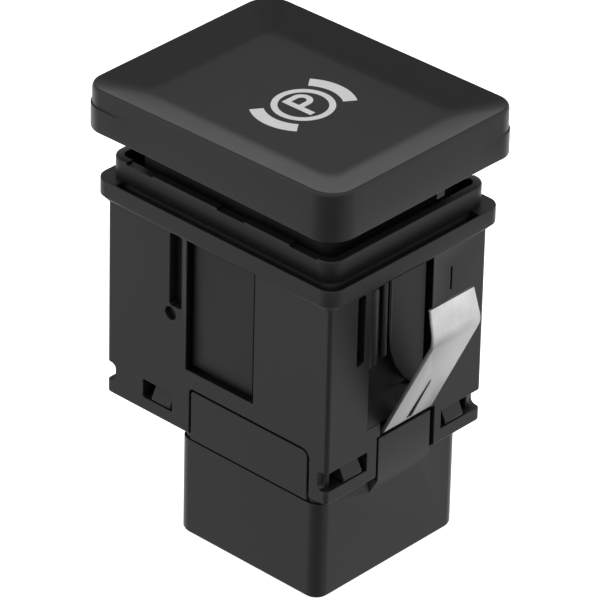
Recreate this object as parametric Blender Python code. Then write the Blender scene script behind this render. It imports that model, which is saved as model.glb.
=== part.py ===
"""Electric parking brake switch for a centre console.

The switch stands on the rim of its connector shroud. +Z points up through the cap, the origin lies at
the rim under the middle of the housing, and the two spring clips stand off the -Y and +Y faces.
Pressing the cap slides it and the plunger down against two return springs, until the plunger's tips
meet the buttons of the two contacts on the circuit board.
"""
import math

import bmesh
import bpy
from mathutils import Matrix, Vector

MM = 0.001

# General clearances and fineness
SEAT_GAP = 0.3 * MM            # between pieces that touch
SLIDE_GAP = 0.35 * MM          # round the plunger in the housing
OVERCUT = 1.0 * MM             # how far a cutter runs past the face it opens
CORNER_STEPS = 5               # facets in each rounded corner

# Connector shroud and base
SHROUD_HEIGHT = 13.1 * MM
SHROUD_WIDTH = 23.24 * MM
SHROUD_DEPTH = 21.79 * MM
SHROUD_SETBACK = Vector((0.285 * MM, 1.22 * MM))   # behind the housing's -X and -Y faces
SHROUD_WALL = 1.6 * MM
SHROUD_LEAD = 0.45 * MM        # rounding of the rim's outer edge
UNDERCUT_DEPTH = 0.3 * MM      # groove under the tongues
UNDERCUT_HEIGHT = 0.45 * MM
SHROUD_CORNER = 1.7 * MM
SHOULDER_HEIGHT = 0.2 * MM
SOCKET_CEILING = 1.8 * MM      # plastic between the socket and the base plate
SOCKET_CORNER = 0.6 * MM
KEY_RIB_WIDTH = 1.2 * MM
KEY_RIB_HEIGHT = 1.0 * MM
KEY_RIB_SPACING = 9.0 * MM
KEY_RIB_RECESS = 2.4 * MM      # from the rim up to the ribs
BASE_PLATE = 2.0 * MM
RAMP_HEIGHT = 2.2 * MM         # under the front tongue, down to the shroud's wall

# Housing
HOUSING_WIDTH = 25.55 * MM
HOUSING_DEPTH = 34.04 * MM
HOUSING_HEIGHT = 28.3 * MM     # bottom edge to the lip's top
HOUSING_CORNER = 0.5 * MM
SIDE_WALL = 1.9 * MM           # walls across X
END_WALL = 2.7 * MM            # walls across Y
CAVITY_CORNER = 0.8 * MM
EDGE_BREAK = 0.15 * MM
LIP_OVERHANG = 1.15 * MM
LIP_FACE = 2.0 * MM
LIP_CHAMFER = 1.2 * MM
LIP_WALL = 0.65 * MM
LIP_CORNER = 1.9 * MM
CHANNEL_WIDTH = 0.8 * MM
CHANNEL_DEPTH = 2.4 * MM
BEAD_HEIGHT = 2.0 * MM
BEAD_STEP = 0.15 * MM
COLLAR_HEIGHT = 2.55 * MM      # above the lip
COLLAR_WALL = 1.0 * MM
COLLAR_CORNER = 2.0 * MM
COLLAR_LEDGE = 0.5 * MM        # below the channel's floor
COLLAR_NOTCH = 0.5 * MM
COLLAR_NOTCH_WIDTH = 4.1 * MM
SIDE_NOTCH_SETBACK = 4.3 * MM  # from the collar's ends to the outer notches
SIDE_NOTCH_MIDDLE = -1.5 * MM
END_NOTCH_MIDDLE = 2.4 * MM
LIP_NOTCH_WIDTH = 2.3 * MM
LIP_NOTCH_MIDDLE = -1.6 * MM
LIP_NOTCH_DEPTH = 0.3 * MM

# Features of the side faces, across X
PANEL_Y = (-5.7 * MM, 4.7 * MM)
PANEL_DEPTH = 1.0 * MM
PANEL_HEIGHT = 16.8 * MM       # down from the lip's chamfer
SIDE_SLOT_Y = (5.45 * MM, 7.3 * MM)
SIDE_SLOT_DEPTH = 1.2 * MM
SIDE_SLOT_HEIGHT = 9.4 * MM
DIMPLE_RADIUS = 0.85 * MM
DIMPLE_DEPTH = 0.7 * MM
DIMPLE_DROP = 1.1 * MM         # centre below the slot's end
DIMPLE_SHIFT = 0.75 * MM       # towards +Y from the slot's middle
SIDE_TONGUE_WIDTH = 17.84 * MM
SIDE_TONGUE_SETBACK = 2.95 * MM   # from the -Y face
SIDE_TONGUE_HEIGHT = 6.3 * MM
SIDE_WINDOW_WIDTH = 4.55 * MM
SIDE_WINDOW_SETBACK = 5.72 * MM   # from the +Y face
SIDE_TOOTH_WIDTH = 2.9 * MM
TONGUE_CORNERS = (0.8 * MM, 0.3 * MM)

# Features of the end faces, across Y
POCKET_X = (-6.2 * MM, 3.95 * MM)
POCKET_DEPTH = 1.45 * MM
POCKET_RAMP = 2.6 * MM         # height over which the pocket's foot runs out to the face
RIB_X = (-7.1 * MM, -4.9 * MM)
RIB_HEIGHT = 10.1 * MM
RIB_CORNER = 0.8 * MM
POCKET_GROOVE_X = (-3.35 * MM, -2.3 * MM)
POCKET_GROOVE_DEPTH = 0.5 * MM
POCKET_GROOVE_HEIGHT = 8.3 * MM
END_SLOT_X = (-8.3 * MM, -7.1 * MM)
END_SLOT_DEPTH = 1.2 * MM
END_SLOT_HEIGHT = 9.0 * MM
SLIT_X = (6.85 * MM, 7.1 * MM)
SLIT_DEPTH = 0.4 * MM
SLIT_HEIGHT = 2.9 * MM
SLIT_DROP = 2.5 * MM
LIP_RELIEF_X = (-4.9 * MM, 1.7 * MM)
LIP_RELIEF_DEPTH = 0.5 * MM
END_TONGUE_WIDTH = 8.56 * MM
END_TONGUE_HEIGHT = 5.55 * MM
END_TONGUE_THIN = 0.72 * MM    # the upper part, in front of the clip's tab
END_TONGUE_THICK_HEIGHT = 4.6 * MM
END_SLIT_WIDTH = 0.4 * MM      # extra width on the +X side of the tongue
CORNER_WINDOW_WIDTH = 6.65 * MM
CORNER_WINDOW_WRAP = 1.4 * MM
CORNER_WINDOW_POST = 1.5 * MM
CORNER_NOTCH_DEPTH = 0.9 * MM
WINDOW_BOTTOM = 1.7 * MM       # above the housing's bottom edge
WINDOW_HEIGHT = 2.4 * MM
WINDOW_CORNER = 0.6 * MM
END_TOOTH_OFFSET = 2.9 * MM    # from the housing's corner
END_TOOTH_WIDTH = 2.95 * MM
TOOTH_HEIGHT = 2.0 * MM
TOOTH_TIP = 0.35 * MM          # height of the tooth's blunt edge
TOOTH_SLOPE = 0.85 * MM        # how far its top lies behind that edge
TOOTH_ARM = 0.9 * MM
TOOTH_ARM_RISE = 1.0 * MM
TOOTH_INSET = 0.05 * MM

# Circuit board and what stands on it
POST_HEIGHT = 5.2 * MM
POST_WIDTH = 2.0 * MM
POST_INSET = Vector((1.3 * MM, 1.6 * MM))   # from the cavity's wall to the post
PEG_RADIUS = 0.6 * MM
PEG_HEIGHT = 1.3 * MM
BOARD_THICKNESS = 1.6 * MM
BOARD_CLEARANCE = 0.5 * MM
CONTACT_WIDTH = 6.0 * MM
CONTACT_HEIGHT = 3.3 * MM
CONTACT_BUTTON_RADIUS = 1.7 * MM
CONTACT_BUTTON_HEIGHT = 0.8 * MM
CONTACT_INSET = 0.975 * MM     # from the cavity's wall to the contact's case
CONTACT_Y = 0.5 * MM
LAMP_SIZE = Vector((2.6 * MM, 3.2 * MM, 1.9 * MM))
LAMP_SPACING = 3.4 * MM
LAMP_Y = 0.3 * MM
LAMP_BOWL_RADIUS = 1.0 * MM
LAMP_BOWL_FLOOR = 0.5 * MM
LAMP_BOWL_DEPTH = 0.5 * MM
CHIP_SIZE = Vector((3.0 * MM, 1.6 * MM, 0.9 * MM))
CHIP_INSET = Vector((4.9 * MM, 3.0 * MM))   # from the board's edges to the chip's middle
CAPACITOR_RADIUS = 1.8 * MM
CAPACITOR_HEIGHT = 2.6 * MM
PIN_WIDTH = 0.8 * MM
PIN_PITCH = 3.0 * MM
PIN_ROW_PITCH = 2.54 * MM
PIN_COUNT = 4                  # in each of the two rows
PIN_RECESS = 3.5 * MM          # from the shroud's rim up to the pins' ends
PIN_PROUD = 0.7 * MM           # above the board
PIN_TAPER = 0.9 * MM

# Guide frame, light guide and springs
FRAME_PLATE = 1.2 * MM
FRAME_CLEARANCE = 0.45 * MM
FRAME_HEADROOM = 0.4 * MM      # over the contacts' cases
FRAME_LEG_WIDTH = 1.6 * MM
FRAME_LEG_SETBACK = 1.3 * MM
SPRING_INSET = 4.5 * MM        # from the cavity's end wall to the spring's axis
SPRING_RADIUS = 2.3 * MM       # of the wire's centre line
SPRING_WIRE = 0.25 * MM
SPRING_LENGTH = 10.0 * MM
SPRING_TURNS = 6
SPRING_PEG_RADIUS = 1.5 * MM
SPRING_PEG_HEIGHT = 2.3 * MM
STEM_HALF = Vector((3.3 * MM, 2.9 * MM))
STEM_FLANGE = 0.9 * MM
STEM_FLANGE_HEIGHT = 1.0 * MM
HEAD_HALF = Vector((5.0 * MM, 6.0 * MM))
HEAD_HEIGHT = 2.3 * MM
HEAD_TAPER = 2.2 * MM
LAMP_GAP = 0.5 * MM
HEAD_GAP = 0.5 * MM            # over the guide's head with the button pressed

# Button
BUTTON_TRAVEL = 2.5 * MM
BOTTOM_GAP = 0.5 * MM          # under the plunger's edge with the button pressed
PLUNGER_WALL = 1.2 * MM
PLUNGER_CORNER = 0.8 * MM
PLUNGER_TOP = 1.2 * MM
SHELF_WIDTH = 6.0 * MM
SHELF_THICKNESS = 1.4 * MM
PRESS_RIB_WIDTH = 1.8 * MM
PRESS_RIB_INNER = 5.7 * MM
PRESS_TIP_RADIUS = 1.6 * MM
PRESS_TIP_HEIGHT = 3.6 * MM
HOOK_REACH = 0.7 * MM
HOOK_HEIGHT = 2.0 * MM
HOOK_WIDTH = 2.4 * MM
HOOK_Y = 10.5 * MM
HOOK_LIFT = 0.5 * MM           # above the plunger's lower edge
NIB_WIDTH = 4.0 * MM
NIB_REACH = 0.9 * MM
NIB_HEIGHT = 0.8 * MM
NIB_DROP = 0.9 * MM
CAP_OVERHANG = Vector((2.165 * MM, 2.02 * MM))   # past the housing's faces
CAP_CORNER = 3.4 * MM
CAP_LIFT = 4.05 * MM           # from the collar's top to the cap's skirt
CAP_HEIGHT = 5.85 * MM         # skirt to crest, at the middle of the cap
CAP_TILT = 0.02                # fall of the top towards +Y, per unit length
CAP_WALL = 1.5 * MM
CAP_LOWER_ROUND = 0.6 * MM
CAP_UPPER_ROUND = 1.0 * MM
CAP_SEAM_HEIGHT = 3.1 * MM
CAP_SEAM_STEP = 0.07 * MM
CAP_RIM = 1.25 * MM
DISH_DEPTH = 1.15 * MM
DISH_MARGIN = Vector((5.24 * MM, 4.94 * MM))     # from the cap's edge to the dish's flat
DISH_CORNER = 1.3 * MM
SOCKET_RING_WALL = 1.0 * MM
SOCKET_RING_DEPTH = 2.6 * MM
CAP_TAB_X = (2.4 * MM, 3.65 * MM)
CAP_TAB_DROP = 1.15 * MM
CAP_TAB_THICKNESS = 0.5 * MM

# Spring clips
CLIP_THICKNESS = 0.45 * MM
CLIP_FOOT_WIDTH = 7.8 * MM
CLIP_CREST_WIDTH = 7.0 * MM
CLIP_MIDDLE = 0.15 * MM
CLIP_SETBACK = 0.1 * MM        # of the bend behind the housing's face
CLIP_TAB_LENGTH = 2.4 * MM
CLIP_RISE = 14.6 * MM          # foot to crest
CLIP_REACH = 7.1 * MM
CLIP_TIP_RISE = 3.9 * MM
CLIP_TIP_RETURN = 1.0 * MM
CLIP_BEND = 1.0 * MM
CLIP_SLIT_WIDTH = 1.3 * MM
CLIP_SLIT_HEIGHT = 6.6 * MM
CLIP_TIP_CORNER = 0.6 * MM
CLIP_SLOT_HEIGHT = 2.0 * MM



def pair(middle, width):
    """The two ends of a width about its middle."""
    return (middle - width / 2, middle + width / 2)


# Positions that follow from the sizes above
HALF_WIDTH = HOUSING_WIDTH / 2
HALF_DEPTH = HOUSING_DEPTH / 2
CAVITY = Vector((HALF_WIDTH - SIDE_WALL, HALF_DEPTH - END_WALL))
SHROUD_TOP = SHROUD_HEIGHT + SHOULDER_HEIGHT
HOUSING_BOTTOM = SHROUD_TOP + SEAT_GAP
LIP_TOP = HOUSING_BOTTOM + HOUSING_HEIGHT
CHAMFER_TOP = LIP_TOP - LIP_FACE
CHAMFER_FOOT = CHAMFER_TOP - LIP_CHAMFER
CHANNEL_FLOOR = LIP_TOP - CHANNEL_DEPTH
COLLAR_TOP = LIP_TOP + COLLAR_HEIGHT
SHROUD_X = pair(-HALF_WIDTH + SHROUD_SETBACK.x + SHROUD_WIDTH / 2, SHROUD_WIDTH)
SHROUD_Y = pair(-HALF_DEPTH + SHROUD_SETBACK.y + SHROUD_DEPTH / 2, SHROUD_DEPTH)
SIDE_TONGUE_Y = pair(-HALF_DEPTH + SIDE_TONGUE_SETBACK + SIDE_TONGUE_WIDTH / 2, SIDE_TONGUE_WIDTH)
SIDE_WINDOW_Y = pair(HALF_DEPTH - SIDE_WINDOW_SETBACK - SIDE_WINDOW_WIDTH / 2, SIDE_WINDOW_WIDTH)
LIP_HALF = Vector((HALF_WIDTH + LIP_OVERHANG, HALF_DEPTH + LIP_OVERHANG))
COLLAR_HALF = LIP_HALF - Vector((1, 1)) * (LIP_WALL + CHANNEL_WIDTH)
WINDOW_Z = (HOUSING_BOTTOM + WINDOW_BOTTOM, HOUSING_BOTTOM + WINDOW_BOTTOM + WINDOW_HEIGHT)
PLATE_TOP = SHROUD_HEIGHT + BASE_PLATE
PLATE_HALF = CAVITY - Vector((1, 1)) * SEAT_GAP
SIDE_TONGUE_TOP = SHROUD_HEIGHT + SIDE_TONGUE_HEIGHT
END_TONGUE_TOP = SHROUD_HEIGHT + END_TONGUE_HEIGHT
POST_TOP = PLATE_TOP + POST_HEIGHT
BOARD_BOTTOM = POST_TOP + SEAT_GAP
BOARD_TOP = BOARD_BOTTOM + BOARD_THICKNESS
BOARD_HALF = CAVITY - Vector((1, 1)) * BOARD_CLEARANCE
PARTS_SEAT = BOARD_TOP + SEAT_GAP
CONTACT_TOP = PARTS_SEAT + CONTACT_HEIGHT + CONTACT_BUTTON_HEIGHT
LAMP_TOP = PARTS_SEAT + LAMP_SIZE.z
CONTACT_X = CAVITY.x - CONTACT_INSET - CONTACT_WIDTH / 2
CHIP_X = BOARD_HALF.x - CHIP_INSET.x
CHIP_Y = BOARD_HALF.y - CHIP_INSET.y
SPRING_Y = CAVITY.y - SPRING_INSET
FRAME_BOTTOM = PARTS_SEAT + CONTACT_HEIGHT + FRAME_HEADROOM
FRAME_TOP = FRAME_BOTTOM + FRAME_PLATE
FRAME_HALF = CAVITY - Vector((1, 1)) * FRAME_CLEARANCE
PLUNGER_HALF = CAVITY - Vector((1, 1)) * SLIDE_GAP
PLUNGER_BOTTOM = FRAME_TOP + BUTTON_TRAVEL + BOTTOM_GAP
TIP_BOTTOM = CONTACT_TOP + BUTTON_TRAVEL + SEAT_GAP
SPRING_FOOT = FRAME_TOP + SEAT_GAP
SHELF_BOTTOM = SPRING_FOOT + SPRING_LENGTH + SEAT_GAP
CAP_HALF = Vector((HALF_WIDTH, HALF_DEPTH)) + CAP_OVERHANG
DISH_HALF = CAP_HALF - DISH_MARGIN
CAP_BOTTOM = COLLAR_TOP + CAP_LIFT
CAP_CREST = CAP_BOTTOM + CAP_HEIGHT
CAP_CEILING = CAP_CREST - DISH_DEPTH - CAP_TILT * CAP_HALF.y - CAP_WALL
PLUNGER_CROWN = CAP_CEILING - SEAT_GAP
GUIDE_TOP = CAP_CEILING - BUTTON_TRAVEL - HEAD_GAP
NIB_TOP = PLUNGER_CROWN - NIB_DROP
PIN_CENTRE = Vector((sum(SHROUD_X) / 2, sum(SHROUD_Y) / 2))
CLIP_PIVOT_Z = END_TONGUE_TOP + SEAT_GAP + CLIP_THICKNESS / 2
CLIP_PIVOT_Y = HALF_DEPTH - CLIP_SETBACK

# Finishes: colour, roughness and metallic value
BLACK_SATIN = ((0.030, 0.030, 0.032, 1), 0.45, 0.0)
BLACK_MATT = ((0.018, 0.018, 0.019, 1), 0.60, 0.0)
SPRING_STEEL = ((0.62, 0.63, 0.64, 1), 0.28, 1.0)
MUSIC_WIRE = ((0.45, 0.45, 0.47, 1), 0.35, 1.0)
TINNED_COPPER = ((0.72, 0.70, 0.66, 1), 0.30, 1.0)
BOARD_GREEN = ((0.03, 0.14, 0.07, 1), 0.45, 0.0)
CLEAR_PLASTIC = ((0.85, 0.88, 0.88, 1), 0.10, 0.0)
NATURAL_NYLON = ((0.70, 0.68, 0.60, 1), 0.50, 0.0)
LAMP_WHITE = ((0.85, 0.84, 0.78, 1), 0.40, 0.0)
CERAMIC = ((0.10, 0.09, 0.08, 1), 0.35, 0.0)
CAN_METAL = ((0.60, 0.61, 0.63, 1), 0.30, 1.0)

for leftover in list(bpy.data.objects):
    bpy.data.objects.remove(leftover, do_unlink=True)

PARTS = bpy.data.collections.new("electric_parking_brake_switch")
TOOLS = bpy.data.collections.new("cutters")
bpy.context.scene.collection.children.link(PARTS)
bpy.context.scene.collection.children.link(TOOLS)


# Building blocks
def add_box(shape, x, y, z, along=None, radius=0.0, segments=3):
    """Adds a box between pairs of X, Y and Z, with the edges along one axis rounded if asked."""
    spans = (x, y, z)
    made = bmesh.ops.create_cube(shape, size=1.0)["verts"]
    for vertex in made:
        vertex.co = [min(s) + (c + 0.5) * (max(s) - min(s)) for s, c in zip(spans, vertex.co)]
    if along:
        axis = "XYZ".index(along)
        edges = {e for v in made for e in v.link_edges
                 if abs((e.verts[0].co - e.verts[1].co).normalized()[axis]) > 0.99}
        bmesh.ops.bevel(shape, geom=list(edges), offset=radius, segments=segments,
                        affect="EDGES", profile=0.5)


def add_rod(shape, centre, radius, z, sides=20, top_radius=None):
    """Adds an upright rod, or a cone where the top radius differs, between two heights."""
    low, high = min(z), max(z)
    place = Matrix.Translation((centre[0], centre[1], (low + high) / 2))
    bmesh.ops.create_cone(shape, cap_ends=True, segments=sides, radius1=radius,
                          radius2=radius if top_radius is None else top_radius,
                          depth=high - low, matrix=place)


def ring(half, radius, height, steps=CORNER_STEPS):
    """Points round a rounded rectangle, anticlockwise from above. The height may follow Y."""
    points = []
    for turn, (sx, sy) in enumerate(((1, 1), (-1, 1), (-1, -1), (1, -1))):
        for step in range(steps + 1):
            angle = math.radians(90 * (turn + step / steps))
            x = sx * (half[0] - radius) + radius * math.cos(angle)
            y = sy * (half[1] - radius) + radius * math.sin(angle)
            points.append(Vector((x, y, height(y) if callable(height) else height)))
    return points


def add_loft(shape, rings, tube=False):
    """Joins equal rings by faces. A tube runs back to its first ring, and any other is capped."""
    rows = [[shape.verts.new(point) for point in points] for points in rings]
    count = len(rows[0])
    pairs = list(zip(rows, rows[1:]))
    if tube:
        pairs.append((rows[-1], rows[0]))
    faces = []
    for lower, upper in pairs:
        for i in range(count):
            j = (i + 1) % count
            faces.append(shape.faces.new((lower[i], lower[j], upper[j], upper[i])))
    if not tube:
        faces.append(shape.faces.new(list(reversed(rows[0]))))
        faces.append(shape.faces.new(rows[-1]))
    bmesh.ops.recalc_face_normals(shape, faces=faces)


def arched(span, low, high, radii):
    """Outline of an opening with a flat foot and rounded upper corners, the near one first."""
    near, far = min(span), max(span)
    points = [(near, low), (far, low)]
    for corner, radius, start in ((far - radii[1], radii[1], 0), (near + radii[0], radii[0], 90)):
        for step in range(CORNER_STEPS):
            angle = math.radians(start + 90 * step / (CORNER_STEPS - 1))
            points.append((corner + radius * math.cos(angle), high - radius + radius * math.sin(angle)))
    return points


def add_prism(shape, outline, along, ends):
    """Extrudes a flat outline. Along X its points are (y, z), and along Y they are (x, z)."""
    def place(end, a, b):
        return Vector((end, a, b)) if along == "X" else Vector((a, end, b))
    add_loft(shape, [[place(end, a, b) for a, b in outline] for end in ends])


def offset_ring(half, grow, radius, height):
    """A ring that stands `grow` outside the rectangle `half`."""
    return ring((half[0] + grow, half[1] + grow), radius, height)


def make_material(name, finish):
    colour, roughness, metallic = finish
    material = bpy.data.materials.new(name)
    material.use_nodes = True
    shader = material.node_tree.nodes["Principled BSDF"]
    shader.inputs["Base Color"].default_value = colour
    shader.inputs["Roughness"].default_value = roughness
    shader.inputs["Metallic"].default_value = metallic
    return material


def to_object(name, shape, collection):
    mesh = bpy.data.meshes.new(name)
    shape.to_mesh(mesh)
    shape.free()
    made = bpy.data.objects.new(name, mesh)
    collection.objects.link(made)
    return made


def to_piece(name, shape, finish, smooth=None):
    """A finished piece of the switch with its own material."""
    made = to_object(name, shape, PARTS)
    made.data.materials.append(make_material(name + "_finish", finish))
    if smooth:
        made.data.shade_smooth()
        made.data.set_sharp_from_angle(angle=math.radians(smooth))
    return made


def apply_tool(piece, name, shape, operation):
    """Cuts a hidden tool from a piece, or joins it to the piece."""
    tool = to_object(name, shape, TOOLS)
    tool.hide_render = True
    tool.display_type = "WIRE"
    modifier = piece.modifiers.new(name, "BOOLEAN")
    modifier.operation = operation
    modifier.object = tool


def cut(piece, name, shape):
    apply_tool(piece, name, shape, "DIFFERENCE")


def join(piece, name, shape):
    apply_tool(piece, name, shape, "UNION")


def end_span(side, depth, proud=OVERCUT):
    """The Y span of a pocket in the end face on one side, from its depth out past the face."""
    return (side * (HALF_DEPTH - depth), side * (HALF_DEPTH + proud))


def side_span(side, depth, proud=OVERCUT):
    """The X span of a pocket in the side face on one side, from its depth out past the face."""
    return (side * (HALF_WIDTH - depth), side * (HALF_WIDTH + proud))


# Housing
def housing_shell():
    """The case as one moulded section run round: wall, chamfer, lip, channel, bead, collar, bore."""
    wall = (HALF_WIDTH, HALF_DEPTH)
    bead = COLLAR_HALF + Vector((1, 1)) * BEAD_STEP
    bead_top = CHANNEL_FLOOR + BEAD_HEIGHT
    sections = [
        offset_ring(wall, -EDGE_BREAK, HOUSING_CORNER, HOUSING_BOTTOM),
        ring(wall, HOUSING_CORNER, HOUSING_BOTTOM + EDGE_BREAK),
        ring(wall, HOUSING_CORNER, CHAMFER_FOOT),
        ring(LIP_HALF, LIP_CORNER, CHAMFER_TOP),
        ring(LIP_HALF, LIP_CORNER, LIP_TOP - EDGE_BREAK),
        offset_ring(LIP_HALF, -EDGE_BREAK, LIP_CORNER - EDGE_BREAK, LIP_TOP),
        offset_ring(LIP_HALF, -LIP_WALL, LIP_CORNER - LIP_WALL, LIP_TOP),
        offset_ring(LIP_HALF, -LIP_WALL, LIP_CORNER - LIP_WALL, CHANNEL_FLOOR),
        ring(bead, COLLAR_CORNER + BEAD_STEP, CHANNEL_FLOOR),
        ring(bead, COLLAR_CORNER + BEAD_STEP, bead_top),
        ring(COLLAR_HALF, COLLAR_CORNER, bead_top + BEAD_STEP),
        ring(COLLAR_HALF, COLLAR_CORNER, COLLAR_TOP - EDGE_BREAK),
        offset_ring(COLLAR_HALF, -EDGE_BREAK, COLLAR_CORNER - EDGE_BREAK, COLLAR_TOP),
        offset_ring(COLLAR_HALF, -COLLAR_WALL, COLLAR_CORNER - COLLAR_WALL, COLLAR_TOP),
        offset_ring(COLLAR_HALF, -COLLAR_WALL, COLLAR_CORNER - COLLAR_WALL, CHANNEL_FLOOR - COLLAR_LEDGE),
        ring(CAVITY, CAVITY_CORNER, CHANNEL_FLOOR - COLLAR_LEDGE),
        ring(CAVITY, CAVITY_CORNER, HOUSING_BOTTOM),
    ]
    shape = bmesh.new()
    add_loft(shape, sections, tube=True)
    return to_piece("housing", shape, BLACK_SATIN, smooth=30)


def cut_side_faces(housing):
    """Panel, slot, dimple, window and tongue opening in each face across X."""
    slot_end = CHAMFER_FOOT - SIDE_SLOT_HEIGHT
    shallow, deep, dimples, notches = (bmesh.new() for _ in range(4))
    for side in (-1, 1):
        add_box(shallow, side_span(side, PANEL_DEPTH), PANEL_Y, (CHAMFER_FOOT - PANEL_HEIGHT, CHAMFER_FOOT))
        add_box(shallow, side_span(side, SIDE_SLOT_DEPTH), SIDE_SLOT_Y, (slot_end, CHAMFER_FOOT),
                along="X", radius=SIDE_SLOT_DEPTH / 4)
        add_box(deep, side_span(side, SIDE_WALL + OVERCUT), SIDE_WINDOW_Y, WINDOW_Z,
                along="X", radius=EDGE_BREAK)
        opening_y = (SIDE_TONGUE_Y[0] - SEAT_GAP, SIDE_TONGUE_Y[1] + SEAT_GAP)
        outline = arched(opening_y, HOUSING_BOTTOM - OVERCUT, SIDE_TONGUE_TOP + SEAT_GAP,
                         [radius + SEAT_GAP for radius in TONGUE_CORNERS])
        add_prism(deep, outline, "X", side_span(side, SIDE_WALL + OVERCUT))
        dimple_x = sum(side_span(side, DIMPLE_DEPTH)) / 2
        turn = Matrix.Rotation(math.radians(90), 4, "Y")
        place = Matrix.Translation((dimple_x, sum(SIDE_SLOT_Y) / 2 + DIMPLE_SHIFT, slot_end - DIMPLE_DROP))
        bmesh.ops.create_cone(dimples, cap_ends=True, segments=16, radius1=DIMPLE_RADIUS,
                              radius2=DIMPLE_RADIUS, depth=DIMPLE_DEPTH + OVERCUT, matrix=place @ turn)
        add_box(notches, (side * (LIP_HALF.x - LIP_WALL - EDGE_BREAK), side * (LIP_HALF.x + OVERCUT)),
                pair(LIP_NOTCH_MIDDLE, LIP_NOTCH_WIDTH), (LIP_TOP - LIP_NOTCH_DEPTH, LIP_TOP + OVERCUT))
    cut(housing, "side_recesses", shallow)
    cut(housing, "side_openings", deep)
    cut(housing, "side_dimples", dimples)
    cut(housing, "lip_notches", notches)


def cut_end_faces(housing):
    """Clip pocket, slots, slit and tongue opening in each face across Y."""
    half_tongue = END_TONGUE_WIDTH / 2
    tab = pair(CLIP_MIDDLE, CLIP_FOOT_WIDTH + 2 * SEAT_GAP)
    foot = END_TONGUE_TOP + CLIP_SLOT_HEIGHT
    pockets, slots, openings, tab_slots, ribs = (bmesh.new() for _ in range(5))
    for side in (-1, 1):
        floor, outside = end_span(side, POCKET_DEPTH)
        face = side * (HALF_DEPTH - EDGE_BREAK)
        add_prism(pockets, [(outside, foot), (face, foot), (floor, foot + POCKET_RAMP), (floor, CHAMFER_FOOT),
                            (outside, CHAMFER_FOOT)], "X", POCKET_X)
        add_box(slots, POCKET_GROOVE_X, end_span(side, POCKET_DEPTH + POCKET_GROOVE_DEPTH),
                (CHAMFER_FOOT - EDGE_BREAK - POCKET_GROOVE_HEIGHT, CHAMFER_FOOT - EDGE_BREAK))
        add_box(slots, END_SLOT_X, end_span(side, END_SLOT_DEPTH),
                (CHAMFER_FOOT - END_SLOT_HEIGHT, CHAMFER_FOOT), along="Y", radius=END_SLOT_DEPTH / 4)
        slit_top = CHAMFER_FOOT - SLIT_DROP
        add_box(slots, SLIT_X, end_span(side, SLIT_DEPTH), (slit_top - SLIT_HEIGHT, slit_top))
        add_box(slots, LIP_RELIEF_X, end_span(side, LIP_RELIEF_DEPTH, proud=LIP_CHAMFER),
                (CHAMFER_FOOT + EDGE_BREAK, CHAMFER_TOP - EDGE_BREAK))
        add_box(openings, (-half_tongue - SEAT_GAP, half_tongue + SEAT_GAP + END_SLIT_WIDTH),
                end_span(side, END_WALL + OVERCUT), (HOUSING_BOTTOM - OVERCUT, END_TONGUE_TOP + SEAT_GAP))
        add_box(tab_slots, tab, end_span(side, END_WALL + OVERCUT), (END_TONGUE_TOP, foot))
        add_box(ribs, RIB_X, end_span(side, POCKET_DEPTH + EDGE_BREAK, proud=0.0),
                (CHAMFER_FOOT - RIB_HEIGHT, CHAMFER_FOOT + EDGE_BREAK), along="Y", radius=RIB_CORNER)
    cut(housing, "clip_pockets", pockets)
    join(housing, "pocket_ribs", ribs)
    cut(housing, "end_slots", slots)
    cut(housing, "end_tongue_openings", openings)
    cut(housing, "clip_tab_slots", tab_slots)


def cut_corner_windows(housing):
    """A window at each end of both end faces, which wraps round the corner as a shallow notch."""
    windows, notches, wraps = bmesh.new(), bmesh.new(), bmesh.new()
    for side_y in (-1, 1):
        for side_x in (-1, 1):
            span_x = (side_x * (HALF_WIDTH - CORNER_WINDOW_WIDTH), side_x * (HALF_WIDTH - CORNER_WINDOW_POST))
            add_box(windows, span_x, end_span(side_y, END_WALL + OVERCUT), WINDOW_Z)
            notch_x = (side_x * (HALF_WIDTH - CORNER_WINDOW_POST - EDGE_BREAK), side_x * (HALF_WIDTH + OVERCUT))
            add_box(notches, notch_x, end_span(side_y, CORNER_NOTCH_DEPTH), WINDOW_Z)
            add_box(wraps, side_span(side_x, CORNER_NOTCH_DEPTH), end_span(side_y, CORNER_WINDOW_WRAP),
                    WINDOW_Z, along="X", radius=WINDOW_CORNER)
    cut(housing, "corner_windows", windows)
    cut(housing, "corner_notches", notches)
    cut(housing, "corner_wraps", wraps)


def cut_collar_and_bore(housing):
    """Shallow notches in the collar's top edge, and the grooves in which the plunger's hooks slide."""
    notches, grooves = bmesh.new(), bmesh.new()
    notch_z = (COLLAR_TOP - COLLAR_NOTCH, COLLAR_TOP + OVERCUT)
    for side in (-1, 1):
        reach = (side * (COLLAR_HALF.x - COLLAR_WALL - EDGE_BREAK), side * (COLLAR_HALF.x + OVERCUT))
        outer = COLLAR_HALF.y - SIDE_NOTCH_SETBACK
        for middle in (-outer, SIDE_NOTCH_MIDDLE, outer):
            add_box(notches, reach, pair(middle, COLLAR_NOTCH_WIDTH), notch_z)
        reach = (side * (COLLAR_HALF.y - COLLAR_WALL - EDGE_BREAK), side * (COLLAR_HALF.y + OVERCUT))
        add_box(notches, pair(END_NOTCH_MIDDLE, COLLAR_NOTCH_WIDTH), reach, notch_z)
        hook_low = PLUNGER_BOTTOM + HOOK_LIFT
        for along in (-1, 1):
            add_box(grooves, (side * (CAVITY.x - EDGE_BREAK), side * (PLUNGER_HALF.x + HOOK_REACH + SLIDE_GAP)),
                    pair(along * HOOK_Y, HOOK_WIDTH + 2 * SLIDE_GAP),
                    (hook_low - BUTTON_TRAVEL - SLIDE_GAP, hook_low + HOOK_HEIGHT + SEAT_GAP))
    cut(housing, "collar_notches", notches)
    cut(housing, "hook_grooves", grooves)


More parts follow.
